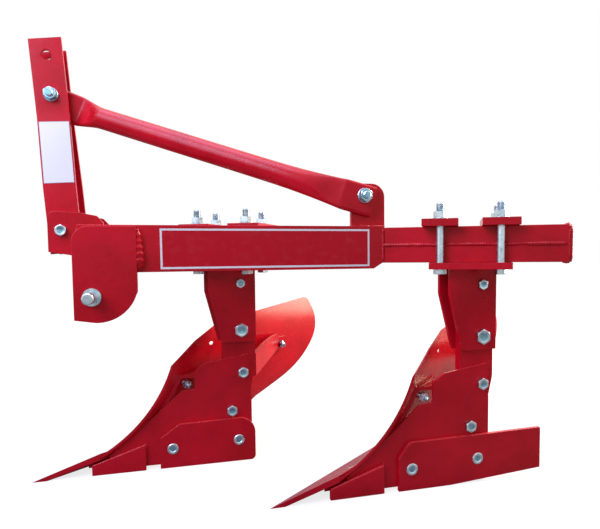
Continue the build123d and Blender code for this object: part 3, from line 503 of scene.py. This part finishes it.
def dress_bolts(name, axes):
    """Replaces a node of bolts. axes gives the direction from head to tip of each loose solid."""
    bm = bmesh.new()
    for points, axis in zip(islands(name), axes):
        foot, steps = bolt_steps(points, axis)
        for i, (start, stop, radius, hexagonal, corner) in enumerate(steps):
            if hexagonal:
                rings = hexagon_rings(start, stop, radius)
            elif i == 0 and stop - start < LOW_HEAD:
                rings = socket_rings(start, stop, radius)
            elif i == len(steps) - 1 and i > 0:
                rings = thread_rings(start, stop, radius)
            else:
                rings = round_rings(start, stop, radius)
            lathe(bm, foot, axis, corner, rings)
    bmesh.ops.recalc_face_normals(bm, faces=bm.faces)
    piece = mesh_object(f"{name}_turned", bm, ZINC)
    # the flat ends get the darker, bluer zinc: a painted reflection
    piece.data.materials.append(ZINC_PAINTED_REFLECTION)
    piece.data.set_sharp_from_angle(angle=SHARP_RIM)
    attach(piece, body_of[name])
    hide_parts(name)
    return len(piece.data.polygons)


# %% [markdown]
# A bolt's head is wider than its tip, and a bolt is longer than it is wide. So the axis of each loose
# solid is the direction in which its points are spread most, and it points from the wide end to the
# narrow one. No list of directions has to be kept in step with the solids.

# %% Find each bolt's direction
AXIS_STEPS = 12            # rounds in which the axis settles
NEARLY_ALONG = 0.9         # an axis this close to X, Y or Z is that one
END_SLICE = 0.3 * MM       # points this near an end belong to it


def long_axis(points):
    """The direction in which the points are spread most."""
    middle = sum(points, Vector()) / len(points)
    axis = max(((p - middle) for p in points), key=lambda d: d.length).normalized()
    for _ in range(AXIS_STEPS):
        total = Vector()
        for p in points:
            total += (p - middle) * (p - middle).dot(axis)
        axis = total.normalized()
    return axis


def head_to_tip(points):
    """The axis, pointing from the wider end to the thinner one."""
    axis = long_axis(points)
    best = max((Vector((1, 0, 0)), Vector((0, 1, 0)), Vector((0, 0, 1))), key=lambda v: abs(v.dot(axis)))
    if abs(best.dot(axis)) > NEARLY_ALONG:
        axis = best * math.copysign(1, best.dot(axis))
    heights = [p.dot(axis) for p in points]
    widths = []
    for height in (min(heights), max(heights)):
        near = [p for p, h in zip(points, heights) if abs(h - height) < END_SLICE]
        centre = sum(near, Vector()) / len(near)
        widths.append(max((p - centre).length for p in near))
    return axis if widths[0] >= widths[1] else -axis


BOLT_NODES = ["mast_foot_bolts", "stay_bolt", "stay_lug_bolt"]
for end in ("front", "rear"):
    BOLT_NODES += [f"{end}_clamp_bolts", f"{end}_pivot_bolt", f"{end}_shear_bolt_ends", f"{end}_leg_bolts"]
faces = sum(dress_bolts(name, [head_to_tip(points) for points in islands(name)]) for name in BOLT_NODES)
print("turned", len(BOLT_NODES), "nodes of bolts,", faces, "faces")

# %% [markdown]
# ## Share bolts
# A share wears out first, so it is changed in the field. Three plough bolts hold it, and their heads
# lie almost flush with its face, so that soil slides over them. The face is a flat, so its upper edge
# and its slope are read from the solid, and the heads are set out along that edge. They are skinned
# by the same helper as the other bolts.

# %% Share bolts
SHARE_BOLT = 9 * MM        # radius of a head
SHARE_BOLT_INSET = 27 * MM         # from the share's upper edge
SHARE_BOLT_PLACES = (0.16, 0.5, 0.84)      # along that edge
HEAD_HEIGHT = 3 * MM
HEAD_PROUD = 0.5 * MM
IN_FACE = 0.3 * MM         # points this near the plane of the face are on it
NEAR_EDGE = 4 * MM         # and those this near its top are on its upper edge


def share_bolt_heads(end):
    """Adds the heads to the face that looks up and to the right. Returns the upper edge's length."""
    mesh = nodes[f"{end}_share"].data
    face = max((f for f in mesh.polygons if f.normal.y > 0.1 and f.normal.z > 0.3), key=lambda f: f.area)
    out = face.normal.normalized()
    level = out.cross(Vector((0, 0, 1))).normalized()
    uphill = out.cross(level)
    uphill *= math.copysign(1, uphill.z)
    foot = mesh.vertices[face.vertices[0]].co
    flat = [v.co for v in mesh.vertices if abs((v.co - foot).dot(out)) < IN_FACE]
    top = max(p.dot(uphill) for p in flat)
    edge = sorted([p for p in flat if top - p.dot(uphill) < NEAR_EDGE], key=lambda p: p.dot(level))
    bm = bmesh.new()
    for place in SHARE_BOLT_PLACES:
        spot = edge[0].lerp(edge[-1], place) - uphill * SHARE_BOLT_INSET + out * HEAD_PROUD
        lathe(bm, spot, -out, level, socket_rings(0.0, HEAD_HEIGHT, SHARE_BOLT))
    bmesh.ops.recalc_face_normals(bm, faces=bm.faces)
    heads = mesh_object(f"{end}_share_bolts", bm, ZINC)
    # the heads' flat ends get the darker, bluer zinc: a painted reflection
    heads.data.materials.append(ZINC_PAINTED_REFLECTION)
    heads.data.set_sharp_from_angle(angle=SHARP_RIM)
    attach(heads, f"{end}_leg")
    return (edge[-1] - edge[0]).length


print("share edges", [round(share_bolt_heads(end), 3) for end in ("front", "rear")], "m long")

# %% [markdown]
# ## Stay
# The stay is a pipe whose ends were pressed flat in a vice, cold. The press squeezes the middle of the
# pipe's side first, so the flat reaches furthest there and ends in an arc. A loft between a flat and a
# round section would end it in a straight line. So the rings go from the flat section to the round
# one, and near the ends of the flats each point of a ring is slid along the pipe: forwards or back in
# the middle of the side, and the other way at the top and bottom.

# %% Sections of the stay
PIPE = 31.5 * MM           # radius
PRESSED = 8.0 * MM         # half the thickness of a pressed end
FRONT_GROWTH = 78 * MM     # from the front flat to the full round
REAR_GROWTH = 95 * MM      # over this length the rear end gets most of its roundness
REAR_CURVE = 1.4           # above 1, it starts gently


def clamped(value):
    """The value, kept between 0 and 1."""
    return min(1.0, max(0.0, value))


def quarter_turn(share):
    """The quarter that a share of the way round is in, and how far it is from side to top, 0 to 1."""
    quarter = (share * 4) % 4
    return quarter, quarter % 1 if quarter % 2 < 1 else 1 - quarter % 1


def press_section(share, half_height, roundness):
    """(aside, up) of the point a share of the way round, between the flat and the round section."""
    quarter, turned = quarter_turn(share)
    straight = half_height - PRESSED
    run = turned * (straight + math.pi / 2 * PRESSED)
    bent = max(0.0, run - straight) / PRESSED
    flat = (PRESSED * math.cos(bent), min(run, straight) + PRESSED * math.sin(bent))
    full = (PIPE * math.cos(turned * math.pi / 2), PIPE * math.sin(turned * math.pi / 2))
    aside = (1 - roundness) * flat[0] + roundness * full[0]
    up = (1 - roundness) * flat[1] + roundness * full[1]
    return aside * (1 if quarter < 1 or quarter >= 3 else -1), up * (1 if quarter < 2 else -1)


def roundness_at(front_gap, rear_gap):
    """0 where the pipe is flat and 1 where it is round; the gaps are from the ends of the flats."""
    at_front = clamped(front_gap / FRONT_GROWTH)
    at_front = at_front * at_front * (3 - 2 * at_front)
    at_rear = 1 - math.exp(-(max(0.0, rear_gap) / REAR_GROWTH) ** REAR_CURVE)
    return min(at_front, at_rear)


print("a pressed end is", round(2 * PRESSED / MM), "mm thick, the pipe", round(2 * PIPE / MM), "mm")

# %% [markdown]
# The pipe bends a little where each flat ends, and its rear end runs down to the lug. Rings are set
# out along its middle line, close together near the flats, where the section changes, and further
# apart between them.

# %% Stay
FRONT_FLAT, REAR_FLAT = 82 * MM, 62 * MM       # from a bolt to where its flat ends
FRONT_DROP, REAR_DROP = 10 * MM, 11 * MM       # the pipe's middle line below its bolts
FRONT_HALF, REAR_HALF = 46 * MM, 43.5 * MM     # half the height of a pressed end
END_BEYOND = 29 * MM       # pressed end beyond its bolt
REAR_PITCH = math.radians(14)      # the rear end runs down at this slope
BEND = 20 * MM             # half the length of a bend
PRESS_ARC = 17 * MM        # how much further the flat reaches along the middle of the side
FRONT_ARC, FRONT_ARC_FADE = 20 * MM, 60 * MM   # the arc's place beyond the flat, and its reach
REAR_ARC, REAR_ARC_FADE = 30 * MM, 80 * MM
END_ROUNDING = 0.6 * MM    # the end rings are a little smaller,
END_TRIM = 0.97            # by this factor
STAY_ROUND = 64            # points round the pipe
FINE, COARSE = 4 * MM, 16 * MM     # from ring to ring, near the flats and between them
FINE_FRONT, FINE_REAR = 180 * MM, 190 * MM     # fine rings as far as this from the flats
STAY_RIM = math.radians(40)        # edges that turn by more stay sharp


def press_stay():
    """Replaces the stay by a pipe with pressed ends."""
    low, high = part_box("stay")
    bolt_low, bolt_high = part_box("stay_bolt")
    lug_low, lug_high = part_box("stay_lug_bolt")
    front = Vector(((bolt_low.x + bolt_high.x) / 2, high.y - PRESSED,
                    (bolt_low.z + bolt_high.z) / 2 - FRONT_DROP))
    rear = Vector(((lug_low.x + lug_high.x) / 2, low.y + PRESSED,
                   (lug_low.z + lug_high.z) / 2 - REAR_DROP))
    flat_way = Vector((rear.x - front.x, 0, rear.z - front.z)).normalized()
    rear_way = Vector((math.cos(REAR_PITCH), 0, -math.sin(REAR_PITCH)))
    start, stop = front + flat_way * FRONT_FLAT, rear - rear_way * REAR_FLAT
    knots = [front - flat_way * END_BEYOND, start, stop, rear + rear_way * END_BEYOND]
    legs = [(b - a).length for a, b in zip(knots, knots[1:])]
    total, bend = sum(legs), legs[0] + legs[1]
    run = (stop - start).normalized()

    def middle(place):
        """The pipe's middle line at a distance from its front end, and the way it runs there."""
        if place < legs[0]:
            spot = knots[0].lerp(knots[1], place / legs[0])
        elif place < bend:
            spot = knots[1].lerp(knots[2], (place - legs[0]) / legs[1])
        else:
            spot = knots[2].lerp(knots[3], (place - bend) / legs[2])
        turned = clamped((place - legs[0] + BEND) / (2 * BEND))
        back = clamped((place - bend + BEND) / (2 * BEND))
        return spot, flat_way.lerp(run, turned).lerp(rear_way, back).normalized()

    stations = [0.0, END_ROUNDING]
    while stations[-1] < total - FINE - MM:
        near_flat = stations[-1] - legs[0] < FINE_FRONT or bend - stations[-1] < FINE_REAR
        stations.append(stations[-1] + (FINE if near_flat else COARSE))
    stations += [total - END_ROUNDING, total]
    bm = bmesh.new()
    rings = []
    for place in stations:
        trim = END_TRIM if place in (stations[0], stations[-1]) else 1.0
        ring = []
        for i in range(STAY_ROUND):
            turned = quarter_turn(i / STAY_ROUND)[1]
            bow = PRESS_ARC * (1 - 2 * turned ** 2)
            at_front = max(0.0, 1 - abs(place - legs[0] - FRONT_ARC) / FRONT_ARC_FADE)
            at_rear = max(0.0, 1 - abs(bend - REAR_ARC - place) / REAR_ARC_FADE)
            there = place + bow * (at_front - at_rear)
            centre, way = middle(there)
            aside = (Vector((0, 1, 0)) - way * way.y).normalized()
            up = aside.cross(way) * (-1 if aside.cross(way).z < 0 else 1)
            half_height = FRONT_HALF + (REAR_HALF - FRONT_HALF) * clamped(there / total)
            roundness = roundness_at(place - legs[0], bend - place)
            across, height = press_section(i / STAY_ROUND, half_height, roundness)
            ring.append(bm.verts.new(centre + aside * across * trim + up * height * trim))
        rings.append(ring)
    skin(bm, rings)
    bm.faces.new(list(reversed(rings[0])))
    bm.faces.new(rings[-1])
    bmesh.ops.recalc_face_normals(bm, faces=bm.faces)
    piece = mesh_object("stay_pressed", bm, RED)
    piece.data.set_sharp_from_angle(angle=STAY_RIM)
    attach(piece, body_of["stay"])
    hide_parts("stay")
    print("stay of", len(stations), "rings,", round(total, 3), "m long")


press_stay()

# %% [markdown]
# ## Curved and plated solids
# The moldboards and the frogs keep their own smooth meshes, and so do the hitch pins and the middles
# of the shear bolts, which turn with the legs. They only need their finish.

# %% Finish of the solids that stay
plated = [name for name in nodes if name.endswith("lower_pin") or "bolt" in name]
for name, obj in nodes.items():
    obj.data.materials.clear()
    obj.data.materials.append(ZINC if name in plated else RED)
print(len(plated), "solids are plated,", len(nodes) - len(plated), "are painted")

# %% [markdown]
# ## Weld beads
# The plates are joined by hand-laid arc welds. Each drop of metal freezes over the last one, so a bead
# looks like a row of fallen coins, about 4 mm apart, and it wanders a little. A bevelled curve would
# give the row but not the coins, so the bead is a skin of rings whose size follows the ripple.

# %% Weld beads
RIPPLE = 4.2 * MM          # from one frozen drop to the next
BEAD = 4.5 * MM            # half the width of a bead
RINGS_PER_RIPPLE = 4
BEAD_SIDES = 8
DROP_START, DROP_SWELL, DROP_CURVE = 0.82, 0.26, 0.6   # how a ring grows over one drop
WANDER = 0.18              # how much a bead's size changes, as a share of it; it strays half of that
WANDER_RINGS = 10          # rings from one change of direction to the next
BLUNT_END, END_RISE = 0.45, 0.4    # size at a bead's ends, and its growth from there


def weld_bead(name, body, stretches, size=BEAD, seed=1, ripple=RIPPLE):
    """A bead along each stretch, a list of points in metres."""
    dice = random.Random(seed)
    bm = bmesh.new()
    for points in stretches:
        for start, stop in zip(points, points[1:]):
            start, stop = Vector(start), Vector(stop)
            run = stop - start
            axis = run.normalized()
            side = axis.orthogonal().normalized()
            other = axis.cross(side)
            count = max(4, int(run.length / ripple * RINGS_PER_RIPPLE))
            wander = [dice.uniform(-WANDER, WANDER) for _ in range(count // WANDER_RINGS + 3)]
            rings = []
            for k in range(count + 1):
                along = k / count
                drop = (k % RINGS_PER_RIPPLE) / RINGS_PER_RIPPLE
                swell = DROP_START + DROP_SWELL * drop ** DROP_CURVE
                taper = min(1.0, BLUNT_END + END_RISE * min(along, 1 - along) * run.length / size)
                step, rest = k // WANDER_RINGS, k % WANDER_RINGS / WANDER_RINGS
                drift = wander[step] * (1 - rest) + wander[step + 1] * rest
                centre = start + run * along + side * drift * size * 0.5
                radius = size * swell * taper * (1 + drift)
                ring = []
                for i in range(BEAD_SIDES):
                    angle = 2 * math.pi * i / BEAD_SIDES
                    out = side * math.cos(angle) + other * math.sin(angle)
                    ring.append(bm.verts.new(centre + out * radius))
                rings.append(ring)
            bm.faces.new(list(reversed(rings[0])))
            skin(bm, rings)
            bm.faces.new(rings[-1])
    bmesh.ops.recalc_face_normals(bm, faces=bm.faces)
    bead = mesh_object(name, bm, RED)
    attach(bead, body)
    print(name, "has", len(bead.data.polygons), "faces")


# %% [markdown]
# ### Side beam
# The hitch plate is thick and carries the tractor's pull, so it gets the largest weld, laid in several
# passes. The side beam's rear end and the stay's lug get one pass.

# %% Welds of the side beam
HITCH_WELD, HITCH_RIPPLE = 13 * MM, 16 * MM
THICK_BEAD = 5 * MM        # for the seams of the beams and the gunnels
PLATE_GAP, BEAM_GAP = 3 * MM, 2 * MM   # from a bead's middle to the plate's edge, and to the beam's
PLATE_FOOT, PLATE_HEAD = 4 * MM, 10 * MM       # bare at the ends of the plate's seam
JOINT_FOOT, JOINT_HEAD = 20 * MM, 6 * MM       # and of the joint's
beam_low, beam_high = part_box("side_beam")
plate_low, plate_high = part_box("left_hitch_plate")
seam_y = beam_low.y        # the side beam's outer face
plate_seam = (plate_high.x + PLATE_GAP, seam_y - BEAM_GAP)
weld_bead("hitch_plate_weld", "frame", [
    [(*plate_seam, beam_low.z + PLATE_FOOT), (*plate_seam, beam_high.z - PLATE_HEAD)],
], size=HITCH_WELD, seed=2, ripple=HITCH_RIPPLE)
joint_seam = (beam_high.x - BEAM_GAP, seam_y + BEAM_GAP)
weld_bead("beam_joint_weld", "frame", [
    [(*joint_seam, beam_low.z + JOINT_FOOT), (*joint_seam, beam_high.z - JOINT_HEAD)],
], size=THICK_BEAD, seed=8)

lug_low, lug_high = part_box("stay_lug")
weld_bead("lug_welds", "frame", [
    [(lug_low.x, y, lug_low.z), (lug_high.x, y, lug_low.z)] for y in (lug_low.y, lug_high.y)
], seed=3)

# %% [markdown]
# ### Main beam
# The main beam is a square tube made of two channels, welded toe to toe, so a seam runs along the
# middle of each side, and a plate is welded on its rear end. The beam runs at a slant, so places on it
# are counted in millimetres, forwards from its end and aside from its middle line.

# %% Welds of the main beam
BEAM_ANGLE = math.radians(28.7)    # the beam's slant from straight back
HALF_CAP = 4 * MM          # half the thickness of the end plate
CAP_ASIDE, CAP_CORNER = 47, 9      # mm: half the width of the weld's path, and its cut corners
CAP_CUT = 12 * MM          # the corners' height
CAP_BEAD = 4.5 * MM
SEAM_ASIDE, SEAM_START = 50.5, 6   # mm
LEFT_SEAM, RIGHT_SEAM = 500, 1130  # mm, where each seam ends
SEAM_RIPPLE = 7 * MM
along_beam = Vector((math.cos(BEAM_ANGLE), -math.sin(BEAM_ANGLE), 0))
across_beam = Vector((math.sin(BEAM_ANGLE), math.cos(BEAM_ANGLE), 0))
cap_low, cap_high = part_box("beam_end_cap")
cap_middle = (cap_low + cap_high) / 2
main_low, main_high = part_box("main_beam")
beam_end = cap_middle - along_beam * HALF_CAP


def on_main_beam(ahead, aside, z):
    """A point that many mm ahead of the beam's end and aside from its middle line."""
    spot = beam_end - along_beam * ahead * MM + across_beam * aside * MM
    return (spot.x, spot.y, z)


cap_foot, cap_head = main_low.z + CAP_CUT, main_high.z - CAP_CUT
flat_half = CAP_ASIDE - CAP_CORNER
cap_path = [on_main_beam(0, aside, z) for aside, z in (
    (-CAP_ASIDE, cap_foot), (-CAP_ASIDE, cap_head), (-flat_half, main_high.z), (flat_half, main_high.z),
    (CAP_ASIDE, cap_head), (CAP_ASIDE, cap_foot), (flat_half, main_low.z), (-flat_half, main_low.z),
    (-CAP_ASIDE, cap_foot))]
weld_bead("beam_cap_weld", "frame", [cap_path], size=CAP_BEAD, seed=4)
middle_z = (main_low.z + main_high.z) / 2
weld_bead("main_beam_seams", "frame", [
    [on_main_beam(SEAM_START, aside, middle_z), on_main_beam(reach, aside, middle_z)]
    for aside, reach in ((-SEAM_ASIDE, LEFT_SEAM), (SEAM_ASIDE, RIGHT_SEAM))
], size=THICK_BEAD, seed=5, ripple=SEAM_RIPPLE)

# %% [markdown]
# ### Standards and legs
# Each plough bottom hangs between two cheek plates. A bead along the top of each cheek, on its outer
# face, joins it to the clamp's lower plate. Another bead runs up the rear edge of the gunnel, under
# the share. It has to turn with the leg, so it rides on the leg's body and not on the frame.

# %% Welds of the standards and legs
GUNNEL_FOOT = 14 * MM      # the bead starts above the edge that wears away
CHEEK_END = 4 * MM         # bare at both ends of a cheek's bead
for end in ("front", "rear"):
    stretches = []
    for cheek in ("left_cheek", "right_cheek"):
        low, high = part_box(f"{end}_{cheek}")
        outer = low.y if cheek == "left_cheek" else high.y
        stretches.append([(low.x + CHEEK_END, outer, high.z), (high.x - CHEEK_END, outer, high.z)])
    weld_bead(f"{end}_cheek_welds", "frame", stretches, seed=6)
    low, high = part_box(f"{end}_gunnel")
    weld_bead(f"{end}_gunnel_weld", f"{end}_leg", [
        [(high.x, high.y, GUNNEL_FOOT), (high.x, high.y, high.z)],
    ], size=THICK_BEAD, seed=7)

# %% [markdown]
# ## Blank labels
# The side beam carries a red film with a white frame, left blank, and the mast's left bar a white
# one. An image on the paint would show them too, but a film has an edge that catches the light, so
# each is a thin sheet, less than half a millimetre proud, and its frame is a ring of separate faces.

# %% Label of the side beam
FILM_PROUD = 0.4 * MM      # the film's outer face above the steel
FILM = 0.35 * MM           # its thickness, with the glue
LABEL_START = 56 * MM      # behind the hitch plate
LABEL_END = 44 * MM        # before the beam's rear end
LABEL_FOOT, LABEL_HEAD = 7 * MM, 9 * MM        # bare paint under and over the label
LABEL_FRAME = 5 * MM       # width of its white frame


def sheet_on(name, body, corners, out, materials, border=0.0):
    """A thin sheet on four corners, low front first; out points away from the steel."""
    a, b, c, d = [Vector(p) + out * FILM_PROUD for p in corners]
    bm = bmesh.new()
    right = (b - a).normalized()
    up = (d - a).normalized()
    inset = [(a, right + up), (b, up - right), (c, -right - up), (d, right - up)]
    outer = [bm.verts.new(p) for p in (a, b, c, d)]
    inner = [bm.verts.new(p + way * border) for p, way in inset]
    faces = [bm.faces.new(inner)]
    for i in range(4):
        j = (i + 1) % 4
        bm.faces.new((outer[i], outer[j], inner[j], inner[i])).material_index = 1
    bmesh.ops.recalc_face_normals(bm, faces=bm.faces)
    if faces[0].normal.dot(out) < 0:
        bmesh.ops.reverse_faces(bm, faces=bm.faces)
    piece = mesh_object(name, bm, materials[0], smooth=False)
    piece.data.materials.append(materials[1])
    thick = piece.modifiers.new("film", "SOLIDIFY")
    thick.thickness = FILM
    thick.offset = -1
    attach(piece, body)
    print(name, "is", round((b - a).length / MM), "by", round((d - a).length / MM), "mm")


film_low, film_high = beam_low.z + LABEL_FOOT, beam_high.z - LABEL_HEAD
film_front, film_rear = plate_high.x + LABEL_START, beam_high.x - LABEL_END
sheet_on("side_beam_label", "frame", [
    (film_front, seam_y, film_low), (film_rear, seam_y, film_low),
    (film_rear, seam_y, film_high), (film_front, seam_y, film_high),
], Vector((0, -1, 0)), (RED_FILM, WHITE_FILM), border=LABEL_FRAME)

# %% [markdown]
# The mast's left bar leans outwards between its two bends, and its white label fills that slope. The
# slope's corners are read from the solid, because the film has to lie on it.

# %% Label of the mast
SLOPE_FRONT, SLOPE_REAR = 0.04, 0.97   # the label's sides, as shares of the slope's width
SLOPE_FOOT, SLOPE_HEAD = 0.06, 0.95    # its foot and head, as shares of the slope's height
MAST_FRAME = 1.2 * MM
# the faces of the slope look left and a little up
slope = [f for f in nodes["left_mast_bar"].data.polygons if f.normal.y < -0.9 and f.normal.z > 0.05]
slope_out = slope[0].normal.copy()
points = [nodes["left_mast_bar"].data.vertices[i].co.copy() for f in slope for i in f.vertices]
low_z, high_z = min(p.z for p in points), max(p.z for p in points)
bottom = sorted([p for p in points if p.z < (low_z + high_z) / 2], key=lambda p: p.x)
top = sorted([p for p in points if p.z > (low_z + high_z) / 2], key=lambda p: p.x)


def on_slope(across, up):
    """A point of the slope: 0 to 1 from front to rear, and 0 to 1 from its foot to its top."""
    foot = bottom[0].lerp(bottom[-1], across)
    head = top[0].lerp(top[-1], across)
    return foot.lerp(head, up)


sheet_on("mast_label", "frame", [
    on_slope(SLOPE_FRONT, SLOPE_FOOT), on_slope(SLOPE_REAR, SLOPE_FOOT),
    on_slope(SLOPE_REAR, SLOPE_HEAD), on_slope(SLOPE_FRONT, SLOPE_HEAD),
], slope_out, (WHITE_FILM, GREY_FILM), border=MAST_FRAME)

# %% [markdown]
# ## Floor
# A pale floor keeps the plough's shadow. It glows a little for the camera alone, more so far from the
# plough, so that it fades into the white background without an edge. A bent backdrop, as in a studio,
# would do it too, but it would show its curve in the wet paint.

# %% Floor
FLOOR_HALF = 9             # m
GLOW_FROM, GLOW_TO = 0.9, 3.2      # m from the plough's middle
GLOW_NEAR, GLOW_FAR = 0.79, 0.95   # its strength there
floor_mesh = bpy.data.meshes.new("floor")
corners = [(x * FLOOR_HALF, y * FLOOR_HALF, 0) for x, y in ((-1, -1), (1, -1), (1, 1), (-1, 1))]
floor_mesh.from_pydata(corners, [], [(0, 1, 2, 3)])
floor = bpy.data.objects.new("floor", floor_mesh)
bpy.context.scene.collection.objects.link(floor)
floor_paint, tree, output, place = new_material("pale_floor")
plain = add_node(tree, "ShaderNodeBsdfDiffuse", {"Color": linear("#909090")})
far = add_node(tree, "ShaderNodeVectorMath", links={0: place}, operation="LENGTH")
glow = add_node(tree, "ShaderNodeMapRange",
                {"From Min": GLOW_FROM, "From Max": GLOW_TO, "To Min": GLOW_NEAR, "To Max": GLOW_FAR},
                {"Value": far.outputs["Value"]})
seen = add_node(tree, "ShaderNodeLightPath").outputs["Is Camera Ray"]
pale = add_node(tree, "ShaderNodeMath", links={0: glow.outputs[0], 1: seen}, operation="MULTIPLY")
white = add_node(tree, "ShaderNodeEmission", {"Color": linear("#FFFFFF")}, {"Strength": pale.outputs[0]})
both = add_node(tree, "ShaderNodeAddShader", links={0: plain.outputs[0], 1: white.outputs[0]})
tree.links.new(both.outputs[0], output.inputs["Surface"])
floor_mesh.materials.append(floor_paint)
print("floor", 2 * FLOOR_HALF, "m square")

# %% [markdown]
# ## Sky
# The background is white for the camera and in reflections, as paper walls round a studio would be.
# The sky that lights the plough stays weaker, so that the lamps draw its shape and colours come out as
# they are written.

# %% Sky
SKY_LIGHT = 0.32           # strength of the sky as a light; seen, it is 1
world = bpy.data.worlds.new("studio")
world.use_nodes = True
bpy.context.scene.world = world
sky = world.node_tree
sky.nodes.clear()
path = add_node(sky, "ShaderNodeLightPath")
seen = add_node(sky, "ShaderNodeMath", operation="MAXIMUM",
                links={0: path.outputs["Is Camera Ray"], 1: path.outputs["Is Glossy Ray"]})
clear = add_node(sky, "ShaderNodeMath", links={0: seen.outputs[0], 1: path.outputs["Is Transmission Ray"]},
                 operation="MAXIMUM")
strength = add_node(sky, "ShaderNodeMapRange", {"To Min": SKY_LIGHT, "To Max": 1.0},
                    {"Value": clear.outputs[0]})
light = add_node(sky, "ShaderNodeBackground", {"Color": linear("#FFFFFF")},
                 {"Strength": strength.outputs[0]})
add_node(sky, "ShaderNodeOutputWorld", links={"Surface": light.outputs[0]})
print("sky of strength", SKY_LIGHT, "as a light")

# %% [markdown]
# ## Lamps
# Four large round lamps, because a large lamp gives a soft shadow and a broad gleam in the paint. Two
# are behind the plough, high and low, and a little warm. The other two, overhead and ahead on the
# left, are weaker and cooler, and keep the near faces from going dark. A table holds what differs.

# %% Lamps
# name: (where it is, what it points at, diameter in m, watts, colour)
LAMPS = {
    "high_rear": ((3.0, -0.3, 3.2), (0.1, 0, 0.4), 1.2, 120, "#FFEFE2"),
    "overhead": ((-0.9, -0.35, 3.4), (-0.4, 0, 0.9), 2.2, 46, "#DACBFF"),
    "low_rear": ((3.1, 0.6, 1.15), (0.1, 0.35, 0.45), 1.7, 125, "#FFE0C6"),
    "front_left": ((-1.9, -1.4, 2.1), (-0.5, 0, 0.9), 1.8, 68, "#D2D8FF"),
}
for name, (spot, target, size, watts, code) in LAMPS.items():
    lamp = bpy.data.lights.new(name, "AREA")
    lamp.shape = "DISK"
    lamp.size = size
    lamp.energy = watts
    lamp.color = linear(code)[:3]
    obj = bpy.data.objects.new(name, lamp)
    bpy.context.scene.collection.objects.link(obj)
    obj.location = spot
    obj.rotation_euler = (Vector(target) - Vector(spot)).to_track_quat("-Z", "Y").to_euler()
    print(name, "of", watts, "W")
bpy.context.scene.view_settings.view_transform = "Standard"
